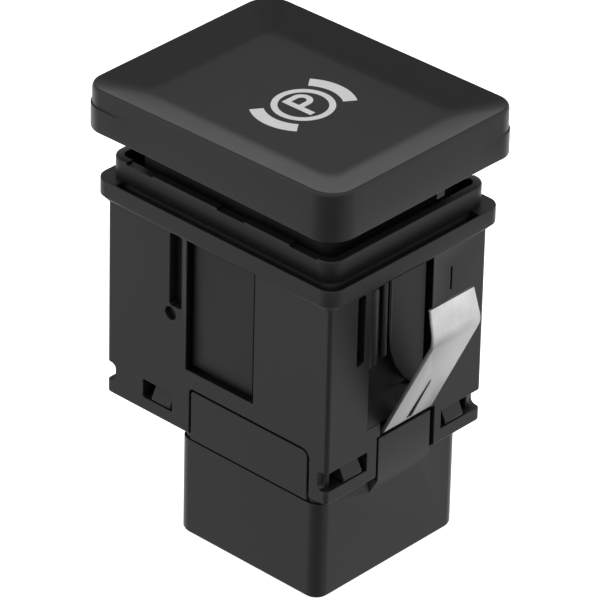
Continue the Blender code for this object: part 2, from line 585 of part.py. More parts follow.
def build_housing():
    housing = housing_shell()
    cut_side_faces(housing)
    cut_end_faces(housing)
    cut_corner_windows(housing)
    cut_collar_and_bore(housing)


# Base with its connector shroud
def shroud_outline(inset, radius, height):
    """A ring round the shroud, whose middle is not the housing's."""
    half = ((SHROUD_X[1] - SHROUD_X[0]) / 2 - inset, (SHROUD_Y[1] - SHROUD_Y[0]) / 2 - inset)
    middle = Vector((PIN_CENTRE.x, PIN_CENTRE.y, 0))
    return [point + middle for point in ring(half, radius, height)]


def shroud_shell():
    """A cup that opens downwards, with broken edges at its rim."""
    ceiling = SHROUD_HEIGHT - SOCKET_CEILING
    undercut = SHROUD_HEIGHT - UNDERCUT_HEIGHT
    sections = [
        shroud_outline(SHROUD_WALL, SOCKET_CORNER, ceiling),
        shroud_outline(SHROUD_WALL, SOCKET_CORNER, EDGE_BREAK),
        shroud_outline(SHROUD_WALL - EDGE_BREAK, SOCKET_CORNER, 0),
        shroud_outline(SHROUD_LEAD, SHROUD_CORNER - SHROUD_LEAD, 0),
        shroud_outline(SHROUD_LEAD / 3, SHROUD_CORNER - SHROUD_LEAD / 3, SHROUD_LEAD / 3),
        shroud_outline(0, SHROUD_CORNER, SHROUD_LEAD),
        shroud_outline(0, SHROUD_CORNER, undercut),
        shroud_outline(UNDERCUT_DEPTH, SHROUD_CORNER - UNDERCUT_DEPTH, undercut),
        shroud_outline(UNDERCUT_DEPTH, SHROUD_CORNER - UNDERCUT_DEPTH, SHROUD_TOP),
    ]
    shape = bmesh.new()
    add_loft(shape, sections)
    return to_piece("base", shape, BLACK_SATIN, smooth=30)


def tooth_outline(reach_in, reach_out):
    """A snap tooth from the side: flat underneath, with a lead-in slope above its blunt edge."""
    low = WINDOW_Z[0] + (WINDOW_HEIGHT - TOOTH_HEIGHT) / 2
    back = reach_out - math.copysign(TOOTH_SLOPE, reach_out)
    return [(reach_in, low), (reach_out, low), (reach_out, low + TOOTH_TIP),
            (back, low + TOOTH_HEIGHT), (reach_in, low + TOOTH_HEIGHT)]


def add_tongues(base):
    """The plate that closes the housing, and the tongues that fill its openings flush."""
    plate = bmesh.new()
    add_box(plate, pair(0, 2 * PLATE_HALF.x), pair(0, 2 * PLATE_HALF.y), (SHROUD_HEIGHT, PLATE_TOP),
            along="Z", radius=CAVITY_CORNER)
    join(base, "plate", plate)
    side_tongues, end_tongues, tops, ramps = (bmesh.new() for _ in range(4))
    half = END_TONGUE_WIDTH / 2
    thick_top = SHROUD_HEIGHT + END_TONGUE_THICK_HEIGHT
    for side in (-1, 1):
        outline = arched(SIDE_TONGUE_Y, SHROUD_HEIGHT, SIDE_TONGUE_TOP, TONGUE_CORNERS)
        add_prism(side_tongues, outline, "X", (side * (PLATE_HALF.x - EDGE_BREAK), side * HALF_WIDTH))
        add_box(end_tongues, (-half, half), (side * (PLATE_HALF.y - EDGE_BREAK), side * HALF_DEPTH),
                (SHROUD_HEIGHT, thick_top))
        add_box(tops, (-half, half), end_span(side, END_TONGUE_THIN, proud=0.0),
                (thick_top - EDGE_BREAK, END_TONGUE_TOP))
    front_wall = SHROUD_Y[0]
    behind = front_wall + UNDERCUT_DEPTH + EDGE_BREAK
    add_prism(ramps, [(-HALF_DEPTH, SHROUD_HEIGHT + EDGE_BREAK), (behind, SHROUD_HEIGHT + EDGE_BREAK),
                      (behind, SHROUD_HEIGHT - RAMP_HEIGHT), (front_wall, SHROUD_HEIGHT - RAMP_HEIGHT),
                      (-HALF_DEPTH, SHROUD_HEIGHT)], "X", (-half, half))
    join(base, "side_tongues", side_tongues)
    join(base, "end_tongues", end_tongues)
    join(base, "end_tongue_tops", tops)
    join(base, "front_ramp", ramps)


def add_teeth(base):
    """Spring arms inside the housing, whose teeth snap into its windows."""
    arms, teeth = bmesh.new(), bmesh.new()
    arm_z = (PLATE_TOP - EDGE_BREAK, WINDOW_Z[1] + TOOTH_ARM_RISE)
    side_tooth_y = (SIDE_WINDOW_Y[0] + SEAT_GAP, SIDE_WINDOW_Y[0] + SEAT_GAP + SIDE_TOOTH_WIDTH)
    for side in (-1, 1):
        inner = side * (PLATE_HALF.x - TOOTH_ARM)
        add_box(arms, (inner, side * PLATE_HALF.x), side_tooth_y, arm_z)
        outline = tooth_outline(side * (PLATE_HALF.x - EDGE_BREAK), side * (HALF_WIDTH - TOOTH_INSET))
        ends = [Vector((0, y, 0)) for y in side_tooth_y]
        add_loft(teeth, [[Vector((x, 0, z)) + end for x, z in outline] for end in ends])
        for side_x in (-1, 1):
            start = HALF_WIDTH - END_TOOTH_OFFSET
            tooth_x = (side_x * start, side_x * (start - END_TOOTH_WIDTH))
            add_box(arms, tooth_x, (side * (PLATE_HALF.y - TOOTH_ARM), side * PLATE_HALF.y), arm_z)
            outline = tooth_outline(side * (PLATE_HALF.y - EDGE_BREAK), side * (HALF_DEPTH - TOOTH_INSET))
            add_prism(teeth, outline, "X", tooth_x)
    join(base, "snap_arms", arms)
    join(base, "snap_teeth", teeth)


def pin_places():
    """Centres of the terminal pins, row by row."""
    places = []
    for row in (-1, 1):
        for step in range(PIN_COUNT):
            x = PIN_CENTRE.x + (step - (PIN_COUNT - 1) / 2) * PIN_PITCH
            places.append((x, PIN_CENTRE.y + row * PIN_ROW_PITCH / 2))
    return places


def post_places():
    """Centres of the four posts that carry the board."""
    x = CAVITY.x - POST_INSET.x - POST_WIDTH / 2
    y = CAVITY.y - POST_INSET.y - POST_WIDTH / 2
    return [(sx * x, sy * y) for sx in (-1, 1) for sy in (-1, 1)]


def add_posts_and_keys(base):
    """Board posts with locating pegs, key ribs in the socket, and the holes for the pins."""
    posts, pegs, ribs, holes = (bmesh.new() for _ in range(4))
    for x, y in post_places():
        add_box(posts, pair(x, POST_WIDTH), pair(y, POST_WIDTH), (PLATE_TOP - EDGE_BREAK, POST_TOP))
        add_rod(pegs, (x, y), PEG_RADIUS, (POST_TOP - EDGE_BREAK, POST_TOP + PEG_HEIGHT), sides=12)
    wall_y = SHROUD_Y[1] - SHROUD_WALL
    for step in (-1, 1):
        add_box(ribs, pair(PIN_CENTRE.x + step * KEY_RIB_SPACING / 2, KEY_RIB_WIDTH),
                (wall_y - KEY_RIB_HEIGHT, wall_y + EDGE_BREAK),
                (KEY_RIB_RECESS, SHROUD_HEIGHT - SOCKET_CEILING + EDGE_BREAK))
    for x, y in pin_places():
        hole = PIN_WIDTH + 2 * SEAT_GAP
        add_box(holes, pair(x, hole), pair(y, hole),
                (SHROUD_HEIGHT - SOCKET_CEILING - OVERCUT, PLATE_TOP + OVERCUT))
    join(base, "board_posts", posts)
    join(base, "board_pegs", pegs)
    join(base, "key_ribs", ribs)
    cut(base, "pin_holes", holes)


def build_base():
    base = shroud_shell()
    add_tongues(base)
    add_teeth(base)
    add_posts_and_keys(base)


# Circuit board and its components
def build_board():
    shape = bmesh.new()
    add_box(shape, pair(0, 2 * BOARD_HALF.x), pair(0, 2 * BOARD_HALF.y), (BOARD_BOTTOM, BOARD_TOP),
            along="Z", radius=CAVITY_CORNER)
    board = to_piece("circuit_board", shape, BOARD_GREEN)
    holes = bmesh.new()
    through = (BOARD_BOTTOM - OVERCUT, BOARD_TOP + OVERCUT)
    for place in pin_places():
        add_rod(holes, place, PIN_WIDTH * math.sqrt(0.5) + SEAT_GAP, through, sides=12)
    for place in post_places():
        add_rod(holes, place, PEG_RADIUS + SEAT_GAP, through, sides=12)
    cut(board, "board_holes", holes)


def build_pins():
    """Eight blades from the socket up through the base and the board, tapered at both ends."""
    low, high = PIN_RECESS, BOARD_TOP + PIN_PROUD
    full, thin = PIN_WIDTH / 2, PIN_WIDTH / 4
    levels = ((thin, low), (full, low + PIN_TAPER), (full, high - PIN_TAPER / 2), (thin, high))
    for number, (x, y) in enumerate(pin_places(), start=1):
        shape = bmesh.new()
        corners = ((1, 1), (-1, 1), (-1, -1), (1, -1))
        add_loft(shape, [[Vector((x + a * half, y + b * half, z)) for a, b in corners] for half, z in levels])
        to_piece(f"terminal_pin_{number}", shape, TINNED_COPPER)


def build_contacts():
    """Two push contacts, each a square case with a round button."""
    for name, side in (("contact_left", -1), ("contact_right", 1)):
        x = side * CONTACT_X
        case_top = PARTS_SEAT + CONTACT_HEIGHT
        shape = bmesh.new()
        add_box(shape, pair(x, CONTACT_WIDTH), pair(CONTACT_Y, CONTACT_WIDTH), (PARTS_SEAT, case_top),
                along="Z", radius=SEAT_GAP, segments=2)
        contact = to_piece(name, shape, CAN_METAL)
        button = bmesh.new()
        add_rod(button, (x, CONTACT_Y), CONTACT_BUTTON_RADIUS, (case_top - EDGE_BREAK, CONTACT_TOP), sides=16)
        join(contact, name + "_button", button)


def build_lamps():
    """Two lamps side by side under the light guide, each with a bowl in its top."""
    for name, side in (("symbol_lamp", -1), ("night_lamp", 1)):
        x = side * LAMP_SPACING / 2
        shape = bmesh.new()
        add_box(shape, pair(x, LAMP_SIZE.x), pair(LAMP_Y, LAMP_SIZE.y), (PARTS_SEAT, LAMP_TOP))
        lamp = to_piece(name, shape, LAMP_WHITE)
        bowl = bmesh.new()
        add_rod(bowl, (x, LAMP_Y), LAMP_BOWL_FLOOR, (LAMP_TOP - LAMP_BOWL_DEPTH, LAMP_TOP + LAMP_BOWL_DEPTH),
                sides=12, top_radius=2 * LAMP_BOWL_RADIUS - LAMP_BOWL_FLOOR)
        cut(lamp, name + "_bowl", bowl)


def build_chips():
    """Two series resistors and one smoothing capacitor."""
    for name, side in (("resistor_left", -1), ("resistor_right", 1)):
        shape = bmesh.new()
        add_box(shape, pair(side * CHIP_X, CHIP_SIZE.x), pair(CHIP_Y, CHIP_SIZE.y),
                (PARTS_SEAT, PARTS_SEAT + CHIP_SIZE.z))
        to_piece(name, shape, CERAMIC)
    shape = bmesh.new()
    add_rod(shape, (-CHIP_X, -CHIP_Y), CAPACITOR_RADIUS, (PARTS_SEAT, PARTS_SEAT + CAPACITOR_HEIGHT))
    to_piece("capacitor", shape, CAN_METAL, smooth=40)


# Guide frame, light guide and springs
def build_guide_frame():
    """A plate on four legs over the board, with spring pegs and openings for the light and the tips."""
    shape = bmesh.new()
    add_box(shape, pair(0, 2 * FRAME_HALF.x), pair(0, 2 * FRAME_HALF.y), (FRAME_BOTTOM, FRAME_TOP),
            along="Z", radius=CAVITY_CORNER)
    frame = to_piece("guide_frame", shape, BLACK_MATT)
    legs, pegs, openings = bmesh.new(), bmesh.new(), bmesh.new()
    for sx in (-1, 1):
        for sy in (-1, 1):
            x = sx * (FRAME_HALF.x - FRAME_LEG_SETBACK)
            y = sy * (FRAME_HALF.y - FRAME_LEG_SETBACK)
            add_box(legs, pair(x, FRAME_LEG_WIDTH), pair(y, FRAME_LEG_WIDTH),
                    (PARTS_SEAT, FRAME_BOTTOM + EDGE_BREAK))
        add_rod(pegs, (0, sx * SPRING_Y), SPRING_PEG_RADIUS,
                (FRAME_TOP - EDGE_BREAK, FRAME_TOP + SPRING_PEG_HEIGHT), top_radius=SPRING_PEG_RADIUS * 0.8)
        add_rod(openings, (sx * CONTACT_X, CONTACT_Y), CONTACT_BUTTON_RADIUS + 2 * SEAT_GAP,
                (FRAME_BOTTOM - OVERCUT, FRAME_TOP + OVERCUT))
    add_box(openings, pair(0, 2 * (STEM_HALF.x + SEAT_GAP)), pair(0, 2 * (STEM_HALF.y + SEAT_GAP)),
            (FRAME_BOTTOM - OVERCUT, FRAME_TOP + OVERCUT))
    join(frame, "frame_legs", legs)
    join(frame, "frame_pegs", pegs)
    cut(frame, "frame_openings", openings)


def build_light_guide():
    """A clear prism: stem over the lamps, a flange that rests on the frame, and a wide head."""
    flange = STEM_HALF + Vector((1, 1)) * STEM_FLANGE
    flange_z = (FRAME_TOP + SEAT_GAP, FRAME_TOP + SEAT_GAP + STEM_FLANGE_HEIGHT)
    corner = SEAT_GAP
    sections = [
        ring(STEM_HALF, corner, LAMP_TOP + LAMP_GAP, steps=2),
        ring(STEM_HALF, corner, flange_z[0], steps=2),
        ring(flange, corner, flange_z[0], steps=2),
        ring(flange, corner, flange_z[1], steps=2),
        ring(STEM_HALF, corner, flange_z[1], steps=2),
        ring(STEM_HALF, corner, GUIDE_TOP - HEAD_HEIGHT - HEAD_TAPER, steps=2),
        ring(HEAD_HALF, 2 * corner, GUIDE_TOP - HEAD_HEIGHT, steps=2),
        ring(HEAD_HALF, 2 * corner, GUIDE_TOP, steps=2),
    ]
    shape = bmesh.new()
    add_loft(shape, sections)
    to_piece("light_guide", shape, CLEAR_PLASTIC)


def build_spring(name, side):
    """A wound spring with closed end turns, standing on the frame."""
    steps_a_turn = 12
    turns = SPRING_TURNS + 2
    closed = 2 * SPRING_WIRE
    pitch_height = SPRING_LENGTH - 2 * SPRING_WIRE - 2 * closed
    curve = bpy.data.curves.new(name, "CURVE")
    curve.dimensions = "3D"
    curve.bevel_depth = SPRING_WIRE
    curve.bevel_resolution = 2
    curve.use_fill_caps = True
    spline = curve.splines.new("POLY")
    count = turns * steps_a_turn + 1
    spline.points.add(count - 1)
    for index, point in enumerate(spline.points):
        turn = index / steps_a_turn
        lower = min(turn, 1) * closed
        middle = min(max(turn - 1, 0), SPRING_TURNS) / SPRING_TURNS * pitch_height
        upper = max(turn - 1 - SPRING_TURNS, 0) * closed
        angle = 2 * math.pi * turn
        point.co = (SPRING_RADIUS * math.cos(angle), SPRING_RADIUS * math.sin(angle),
                    SPRING_WIRE + lower + middle + upper, 1)
    made = bpy.data.objects.new(name, curve)
    made.location = (0, side * SPRING_Y, SPRING_FOOT)
    curve.materials.append(make_material(name + "_finish", MUSIC_WIRE))
    PARTS.objects.link(made)


# Plunger and cap
def build_plunger():
    """A sleeve with a windowed top that slides in the housing and pushes the two contacts."""
    window = HEAD_HALF + Vector((1, 1)) * SLIDE_GAP
    inside = PLUNGER_HALF - Vector((1, 1)) * PLUNGER_WALL
    crown_floor = PLUNGER_CROWN - PLUNGER_TOP
    inner_corner = PLUNGER_CORNER / 2
    sections = [
        ring(PLUNGER_HALF, PLUNGER_CORNER, PLUNGER_BOTTOM),
        ring(PLUNGER_HALF, PLUNGER_CORNER, PLUNGER_CROWN),
        ring(window, inner_corner, PLUNGER_CROWN),
        ring(window, inner_corner, crown_floor),
        ring(inside, inner_corner, crown_floor),
        ring(inside, inner_corner, PLUNGER_BOTTOM),
    ]
    shape = bmesh.new()
    add_loft(shape, sections, tube=True)
    plunger = to_piece("plunger", shape, BLACK_MATT, smooth=30)
    inner_wall = PLUNGER_HALF - Vector((1, 1)) * (PLUNGER_WALL / 2)
    shelves, pegs, ribs, tips, hooks, nibs = (bmesh.new() for _ in range(6))
    shelf_z = (SHELF_BOTTOM, SHELF_BOTTOM + SHELF_THICKNESS)
    hook_low = PLUNGER_BOTTOM + HOOK_LIFT
    for side in (-1, 1):
        shelf_y = (side * (SPRING_Y - SHELF_WIDTH / 2), side * inner_wall.y)
        add_box(shelves, (-inner_wall.x, inner_wall.x), shelf_y, shelf_z)
        add_rod(pegs, (0, side * SPRING_Y), SPRING_PEG_RADIUS * 0.8,
                (SHELF_BOTTOM - SPRING_PEG_HEIGHT, SHELF_BOTTOM + EDGE_BREAK), top_radius=SPRING_PEG_RADIUS)
        add_box(ribs, (side * PRESS_RIB_INNER, side * inner_wall.x), pair(CONTACT_Y, PRESS_RIB_WIDTH),
                (TIP_BOTTOM + PRESS_TIP_HEIGHT, crown_floor + EDGE_BREAK))
        add_rod(tips, (side * CONTACT_X, CONTACT_Y), PRESS_TIP_RADIUS,
                (TIP_BOTTOM, TIP_BOTTOM + PRESS_TIP_HEIGHT + PRESS_TIP_RADIUS))
        for along in (-1, 1):
            outer = PLUNGER_HALF.x + HOOK_REACH
            inner = PLUNGER_HALF.x - EDGE_BREAK
            outline = [(side * inner, hook_low), (side * (outer - HOOK_REACH / 2), hook_low),
                       (side * outer, hook_low + HOOK_HEIGHT / 2), (side * outer, hook_low + HOOK_HEIGHT),
                       (side * inner, hook_low + HOOK_HEIGHT)]
            add_prism(hooks, outline, "Y", pair(along * HOOK_Y, HOOK_WIDTH))
        outer = PLUNGER_HALF.y + NIB_REACH
        inner = PLUNGER_HALF.y - EDGE_BREAK
        outline = [(side * inner, NIB_TOP - NIB_HEIGHT), (side * outer, NIB_TOP - NIB_HEIGHT),
                   (side * (PLUNGER_HALF.y + EDGE_BREAK), NIB_TOP), (side * inner, NIB_TOP)]
        add_prism(nibs, outline, "X", pair(0, NIB_WIDTH))
    join(plunger, "spring_shelves", shelves)
    join(plunger, "shelf_pegs", pegs)
    join(plunger, "press_ribs", ribs)
    join(plunger, "press_tips", tips)
    join(plunger, "stop_hooks", hooks)
    join(plunger, "cap_nibs", nibs)


def crest(drop):
    """Height of the tilted top at a given Y, lowered by a drop."""
    return lambda y: CAP_CREST - CAP_TILT * y - drop


def cap_shell():
    """The cap from its inner ceiling, round the skirt, over the crest and down into the dish."""
    inside = CAP_HALF - Vector((1, 1)) * CAP_WALL
    low = CAP_LOWER_ROUND
    top = CAP_UPPER_ROUND
    seam = CAP_BOTTOM + CAP_SEAM_HEIGHT
    sections = [
        ring(inside, CAP_CORNER - CAP_WALL, CAP_CEILING),
        ring(inside, CAP_CORNER - CAP_WALL, CAP_BOTTOM),
    ]
    for step in range(3):
        angle = math.radians(45 * step)
        inset = low * (1 - math.sin(angle))
        sections.append(offset_ring(CAP_HALF, -inset, CAP_CORNER - inset, CAP_BOTTOM + low * (1 - math.cos(angle))))
    sections.append(ring(CAP_HALF, CAP_CORNER, seam))
    sections.append(offset_ring(CAP_HALF, -CAP_SEAM_STEP, CAP_CORNER - CAP_SEAM_STEP, seam + CAP_SEAM_STEP))
    for step in range(5):
        angle = math.radians(22.5 * step)
        inset = CAP_SEAM_STEP + top * (1 - math.cos(angle))
        sections.append(offset_ring(CAP_HALF, -inset, CAP_CORNER - inset, crest(top * (1 - math.sin(angle)))))
    rim = CAP_HALF - Vector((1, 1)) * CAP_RIM
    rim_corner = CAP_CORNER - CAP_RIM
    for share, fall in ((0.0, 0.01), (0.08, 0.05), (0.94, 0.97), (1.0, 1.0)):
        corner = rim_corner + (DISH_CORNER - rim_corner) * share
        sections.append(ring(rim.lerp(DISH_HALF, share), corner, crest(DISH_DEPTH * fall)))
    shape = bmesh.new()
    add_loft(shape, sections)
    return to_piece("button_cap", shape, BLACK_SATIN, smooth=30)


def build_cap():
    cap = cap_shell()
    seat = PLUNGER_HALF + Vector((1, 1)) * SEAT_GAP
    low, high = CAP_CEILING - SOCKET_RING_DEPTH, CAP_CEILING + SEAT_GAP
    walls, windows, tab = bmesh.new(), bmesh.new(), bmesh.new()
    add_loft(walls, [
        offset_ring(seat, SOCKET_RING_WALL, PLUNGER_CORNER + SOCKET_RING_WALL, low),
        offset_ring(seat, SOCKET_RING_WALL, PLUNGER_CORNER + SOCKET_RING_WALL, high),
        ring(seat, PLUNGER_CORNER, high),
        ring(seat, PLUNGER_CORNER, low),
    ], tube=True)
    for side in (-1, 1):
        add_box(windows, pair(0, NIB_WIDTH + 2 * SEAT_GAP),
                (side * (seat.y - EDGE_BREAK), side * (seat.y + SOCKET_RING_WALL + EDGE_BREAK)),
                (NIB_TOP - NIB_HEIGHT - SEAT_GAP, NIB_TOP + SEAT_GAP))
    face = -CAP_HALF.y
    add_box(tab, CAP_TAB_X, (face + CAP_LOWER_ROUND, face + CAP_LOWER_ROUND + CAP_TAB_THICKNESS),
            (CAP_BOTTOM - CAP_TAB_DROP, CAP_BOTTOM + CAP_LOWER_ROUND))
    join(cap, "plunger_socket", walls)
    cut(cap, "nib_windows", windows)
    join(cap, "skirt_tab", tab)


# Spring clips
def bent_path(corners, radius, steps):
    """A path through the corners, with each inner corner replaced by an arc."""
    path = [corners[0]]
    for before, corner, after in zip(corners, corners[1:], corners[2:]):
        a = (before - corner).normalized()
        b = (after - corner).normalized()
        half = a.angle(b) / 2
        reach = radius / math.tan(half)
        centre = corner + (a + b).normalized() * (radius / math.sin(half))
        start = corner + a * reach - centre
        end = corner + b * reach - centre
        for step in range(steps + 1):
            share = step / steps
            path.append(centre + start.normalized().slerp(end.normalized(), share) * radius)
    path.append(corners[-1])
    return path


def build_clip(name, side):
    """A strip of spring steel: tab in the housing's slot, sloping leg, crest and turned-in tip."""
    foot = Vector((0, CLIP_PIVOT_Y, CLIP_PIVOT_Z))
    knee = foot + Vector((0, CLIP_REACH, CLIP_RISE))
    tip = knee + Vector((0, -CLIP_TIP_RETURN, CLIP_TIP_RISE))
    path = bent_path([foot - Vector((0, CLIP_TAB_LENGTH, 0)), foot, knee, tip], CLIP_BEND, 3)
    shape = bmesh.new()
    sections = []
    for index, point in enumerate(path):
        before = path[max(index - 1, 0)]
        after = path[min(index + 1, len(path) - 1)]
        tangent = (after - before).normalized()
        normal = Vector((0, tangent.z, -tangent.y)) * (CLIP_THICKNESS / 2)
        share = min(max((point.z - foot.z) / CLIP_RISE, 0), 1)
        left, right = pair(CLIP_MIDDLE, CLIP_FOOT_WIDTH + (CLIP_CREST_WIDTH - CLIP_FOOT_WIDTH) * share)
        corners = [(left, -normal), (right, -normal), (right, normal), (left, normal)]
        sections.append([Vector((x, (point + shift).y * side, (point + shift).z)) for x, shift in corners])
    add_loft(shape, sections)
    clip = to_piece(name, shape, SPRING_STEEL)
    slit, corners = bmesh.new(), bmesh.new()
    slit_reach = (side * (foot.y - CLIP_THICKNESS), side * (foot.y + CLIP_REACH))
    slit_z = (foot.z + CLIP_THICKNESS, foot.z + CLIP_SLIT_HEIGHT)
    add_box(slit, pair(CLIP_MIDDLE, CLIP_SLIT_WIDTH), slit_reach, slit_z, along="Y", radius=CLIP_SLIT_WIDTH / 3)
    reach = (side * (tip.y - 2 * CLIP_THICKNESS), side * (tip.y + 2 * CLIP_THICKNESS))
    for sx in (-1, 1):
        edge = CLIP_MIDDLE + sx * CLIP_CREST_WIDTH / 2
        inner, outer = edge - sx * CLIP_TIP_CORNER, edge + sx * OVERCUT
        add_prism(corners, [(inner, tip.z + OVERCUT), (inner, tip.z), (edge, tip.z - CLIP_TIP_CORNER),
                            (outer, tip.z - CLIP_TIP_CORNER), (outer, tip.z + OVERCUT)], "Y", reach)
    cut(clip, name + "_slit", slit)
    cut(clip, name + "_tip_corners", corners)


build_housing()
build_base()
build_board()
build_pins()
build_contacts()
build_lamps()
build_chips()
build_guide_frame()
build_light_guide()
build_spring("return_spring_front", -1)
build_spring("return_spring_rear", 1)
build_plunger()
build_cap()
build_clip("front_clip", -1)
build_clip("rear_clip", 1)
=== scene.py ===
"""Looks of an electric parking brake switch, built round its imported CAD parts.

Run as a script, it dresses every part in its moulded, stamped or plated finish, adds the printed
symbol and the finer pieces, and sets the studio and the camera. All sizes are in metres.
"""

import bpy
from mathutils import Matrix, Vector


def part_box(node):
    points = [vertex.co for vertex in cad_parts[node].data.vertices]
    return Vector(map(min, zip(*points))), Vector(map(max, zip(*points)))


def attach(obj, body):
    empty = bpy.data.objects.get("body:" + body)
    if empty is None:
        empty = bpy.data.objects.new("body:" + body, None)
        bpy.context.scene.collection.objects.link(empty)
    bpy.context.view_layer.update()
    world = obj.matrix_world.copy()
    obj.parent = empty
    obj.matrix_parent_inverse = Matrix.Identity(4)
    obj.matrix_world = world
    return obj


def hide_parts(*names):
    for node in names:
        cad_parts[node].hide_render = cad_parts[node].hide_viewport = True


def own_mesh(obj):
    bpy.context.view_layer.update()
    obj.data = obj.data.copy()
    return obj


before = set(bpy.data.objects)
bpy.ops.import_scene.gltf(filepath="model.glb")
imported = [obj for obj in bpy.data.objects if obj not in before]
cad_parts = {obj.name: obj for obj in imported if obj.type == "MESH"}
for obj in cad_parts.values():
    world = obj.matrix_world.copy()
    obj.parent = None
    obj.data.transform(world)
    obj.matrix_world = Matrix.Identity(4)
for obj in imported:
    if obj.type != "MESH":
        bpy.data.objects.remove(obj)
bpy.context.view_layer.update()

import math

import bmesh
import bpy
from mathutils import Matrix, Vector

bl_info = {
    "name": "Parking Brake Switch",
    "version": (1, 0, 0),
    "blender": (4, 5, 0),
    "location": "3D View > Sidebar > Switch",
    "description": "Dresses an electric parking brake switch and sets its studio",
    "category": "Object",
}

MM = 0.001

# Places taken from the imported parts
CAP_LOW, CAP_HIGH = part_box("button_cap")
HOUSING_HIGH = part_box("housing")[1]
SPRING_LOW, SPRING_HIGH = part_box("return_spring_front")
CAP_HALF = Vector((CAP_HIGH.x, CAP_HIGH.y))

# Cap
CAP_TILT = 0.02               # fall of the top towards +Y, per unit length
CAP_CREST_DROP = 0.1 * MM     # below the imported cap's crest
CAP_CREST = CAP_HIGH.z - CAP_TILT * CAP_HALF.y - CAP_CREST_DROP
CAP_TAB_DROP = 1.15 * MM
CAP_TAB_X = (2.4 * MM, 3.65 * MM)
CAP_TAB_THICKNESS = 0.5 * MM
CAP_TAB_SETBACK = 0.6 * MM
CAP_BOTTOM = CAP_LOW.z + CAP_TAB_DROP
CAP_CORNERS = (3.4 * MM, 2.8 * MM, 3.4 * MM, 2.8 * MM)
CAP_LOWER_ROUND = 0.2 * MM
CAP_UPPER_ROUND = Vector((0.28 * MM, 0.5 * MM))     # across and down
CAP_SEAM_HEIGHT = 3.1 * MM
CAP_SEAM_STEP = 0.16 * MM     # how far the lower part stands out at the seam
CAP_SEAM_HALF = 0.03 * MM
CAP_SWELL = 0.1 * MM
# spans over which the swell and the step at the seam grow
CAP_SWELL_X = (9 * MM, 13.5 * MM)
SEAM_RIGHT_X = (11.5 * MM, 13.5 * MM)
SEAM_LEFT_X = (8 * MM, 12 * MM)
SEAM_LEFT_Y = (10 * MM, 17 * MM)
CAP_RIM = 0.3 * MM            # from the cap's side to the dish
CAP_WALL = 1.5 * MM
DISH_DEPTH = 1.25 * MM
DISH_HALF = Vector((9.45 * MM, 13.55 * MM))         # of its flat floor
DISH_CORNER = 1.6 * MM
DISH_STRAIGHT = 0.7           # share of the dish's slope before it eases out
DISH_SHARES = (0, 0.02, 0.12, 0.3, 0.5, 0.62, 0.7, 0.74, 0.78, 0.82, 0.86, 0.9, 0.94, 0.97, 1.0)
DISH_IN_PACK = 1.05 * MM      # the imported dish's floor, below the crest that is drawn here
CAP_CEILING = CAP_CREST - DISH_IN_PACK - CAP_TILT * CAP_HALF.y - CAP_WALL
SOCKET_HALF = Vector((10.975 * MM, 14.42 * MM))
SOCKET_CORNER = 1.0 * MM
SOCKET_WALL = 1.0 * MM
SOCKET_DEPTH = 2.6 * MM
SOCKET_LAP = 0.3 * MM         # of the ring into the ceiling
NIB_WINDOW_WIDTH = 4.0 * MM
NIB_WINDOW_HEIGHT = 1.4 * MM
NIB_WINDOW_FOOT = 0.5 * MM    # above the ring's end
CUT_PAST = 0.2 * MM           # how far the windows' cutter reaches past the ring

# Rim of the housing: lip, channel and collar
COLLAR_HEIGHT = 2.55 * MM     # above the lip
LIP_FACE = 2.0 * MM
LIP_CHAMFER = 1.2 * MM
LIP_TOP = HOUSING_HIGH.z - COLLAR_HEIGHT
LIP_FOOT = LIP_TOP - LIP_FACE
CHAMFER_FOOT = LIP_FOOT - LIP_CHAMFER
LIP_HALF = Vector((HOUSING_HIGH.x, HOUSING_HIGH.y))
LIP_CORNER = 1.9 * MM
LIP_WALL = 0.22 * MM
LIP_DRAFT = 0.3 * MM          # how far the lip's inner wall leans in at its foot
LIP_ROUND = 0.07 * MM
COLLAR_TOP = HOUSING_HIGH.z
COLLAR_HALF = Vector((12.8 * MM, 17.0 * MM))
COLLAR_MIDDLE = (0.325 * MM, 0.28 * MM)
COLLAR_CORNER = 2.0 * MM
COLLAR_WALL = 1.0 * MM
COLLAR_ROUND = 0.15 * MM
BEAD_STEP = 0.03 * MM         # how far the bead at the collar's foot stands out
BEAD_TOP = LIP_TOP - 0.4 * MM
COLLAR_WAIST = 0.1 * MM       # how far the collar is drawn in at its foot
WAIST_TOP = LIP_TOP + 1.8 * MM
RIM_FLOOR = LIP_FOOT + 0.07 * MM
RIM_LAP = 0.01 * MM
NOTCH_DEPTH = 0.2 * MM
NOTCH_WIDTH = 4.1 * MM
NOTCH_CUT_TOP = COLLAR_TOP + 1 * MM
RIM_CUT_TOP = COLLAR_TOP + 5 * MM
NOTCH_Y = (-12.42 * MM, -1.5 * MM, 12.42 * MM)
HOUSING_FACE = Vector((12.775 * MM, 17.02 * MM))
NOTCH_REACH = (0.2 * MM, 0.5 * MM)          # inside and outside the collar's wall
CHANNEL_LAP = 0.05 * MM
CHANNEL_TOP_GAP = 0.01 * MM
CHANNEL_RUN = Vector((0.4 * MM, 0.9 * MM))  # of a filled end, past the corner's arc

# Fine marks on the housing's faces
PANEL_Y = (-5.7 * MM, 4.7 * MM)
PANEL_UNDERCUT = 0.5 * MM
PANEL_CUT = -1.5 * MM         # below the face, as all depths here
PANEL_LINE_TOP = -0.8 * MM
PANEL_LINE_Y = (-5.05 * MM, -4.62 * MM)
PANEL_LINE_Z = (21.95 * MM, 38.62 * MM)
PANEL_LAP = 0.2 * MM
PANEL_FOOT_SETBACK = 0.8 * MM
SKIN = -0.1 * MM
POCKET_RIGHT = 3.95 * MM
POCKET_SLOT_X = (3.3 * MM, 4.7 * MM)
POCKET_SLOT_Z = (21.9 * MM, 38.65 * MM)
POCKET_SLOT_CUT = -2.4 * MM
POCKET_LAP = 0.1 * MM
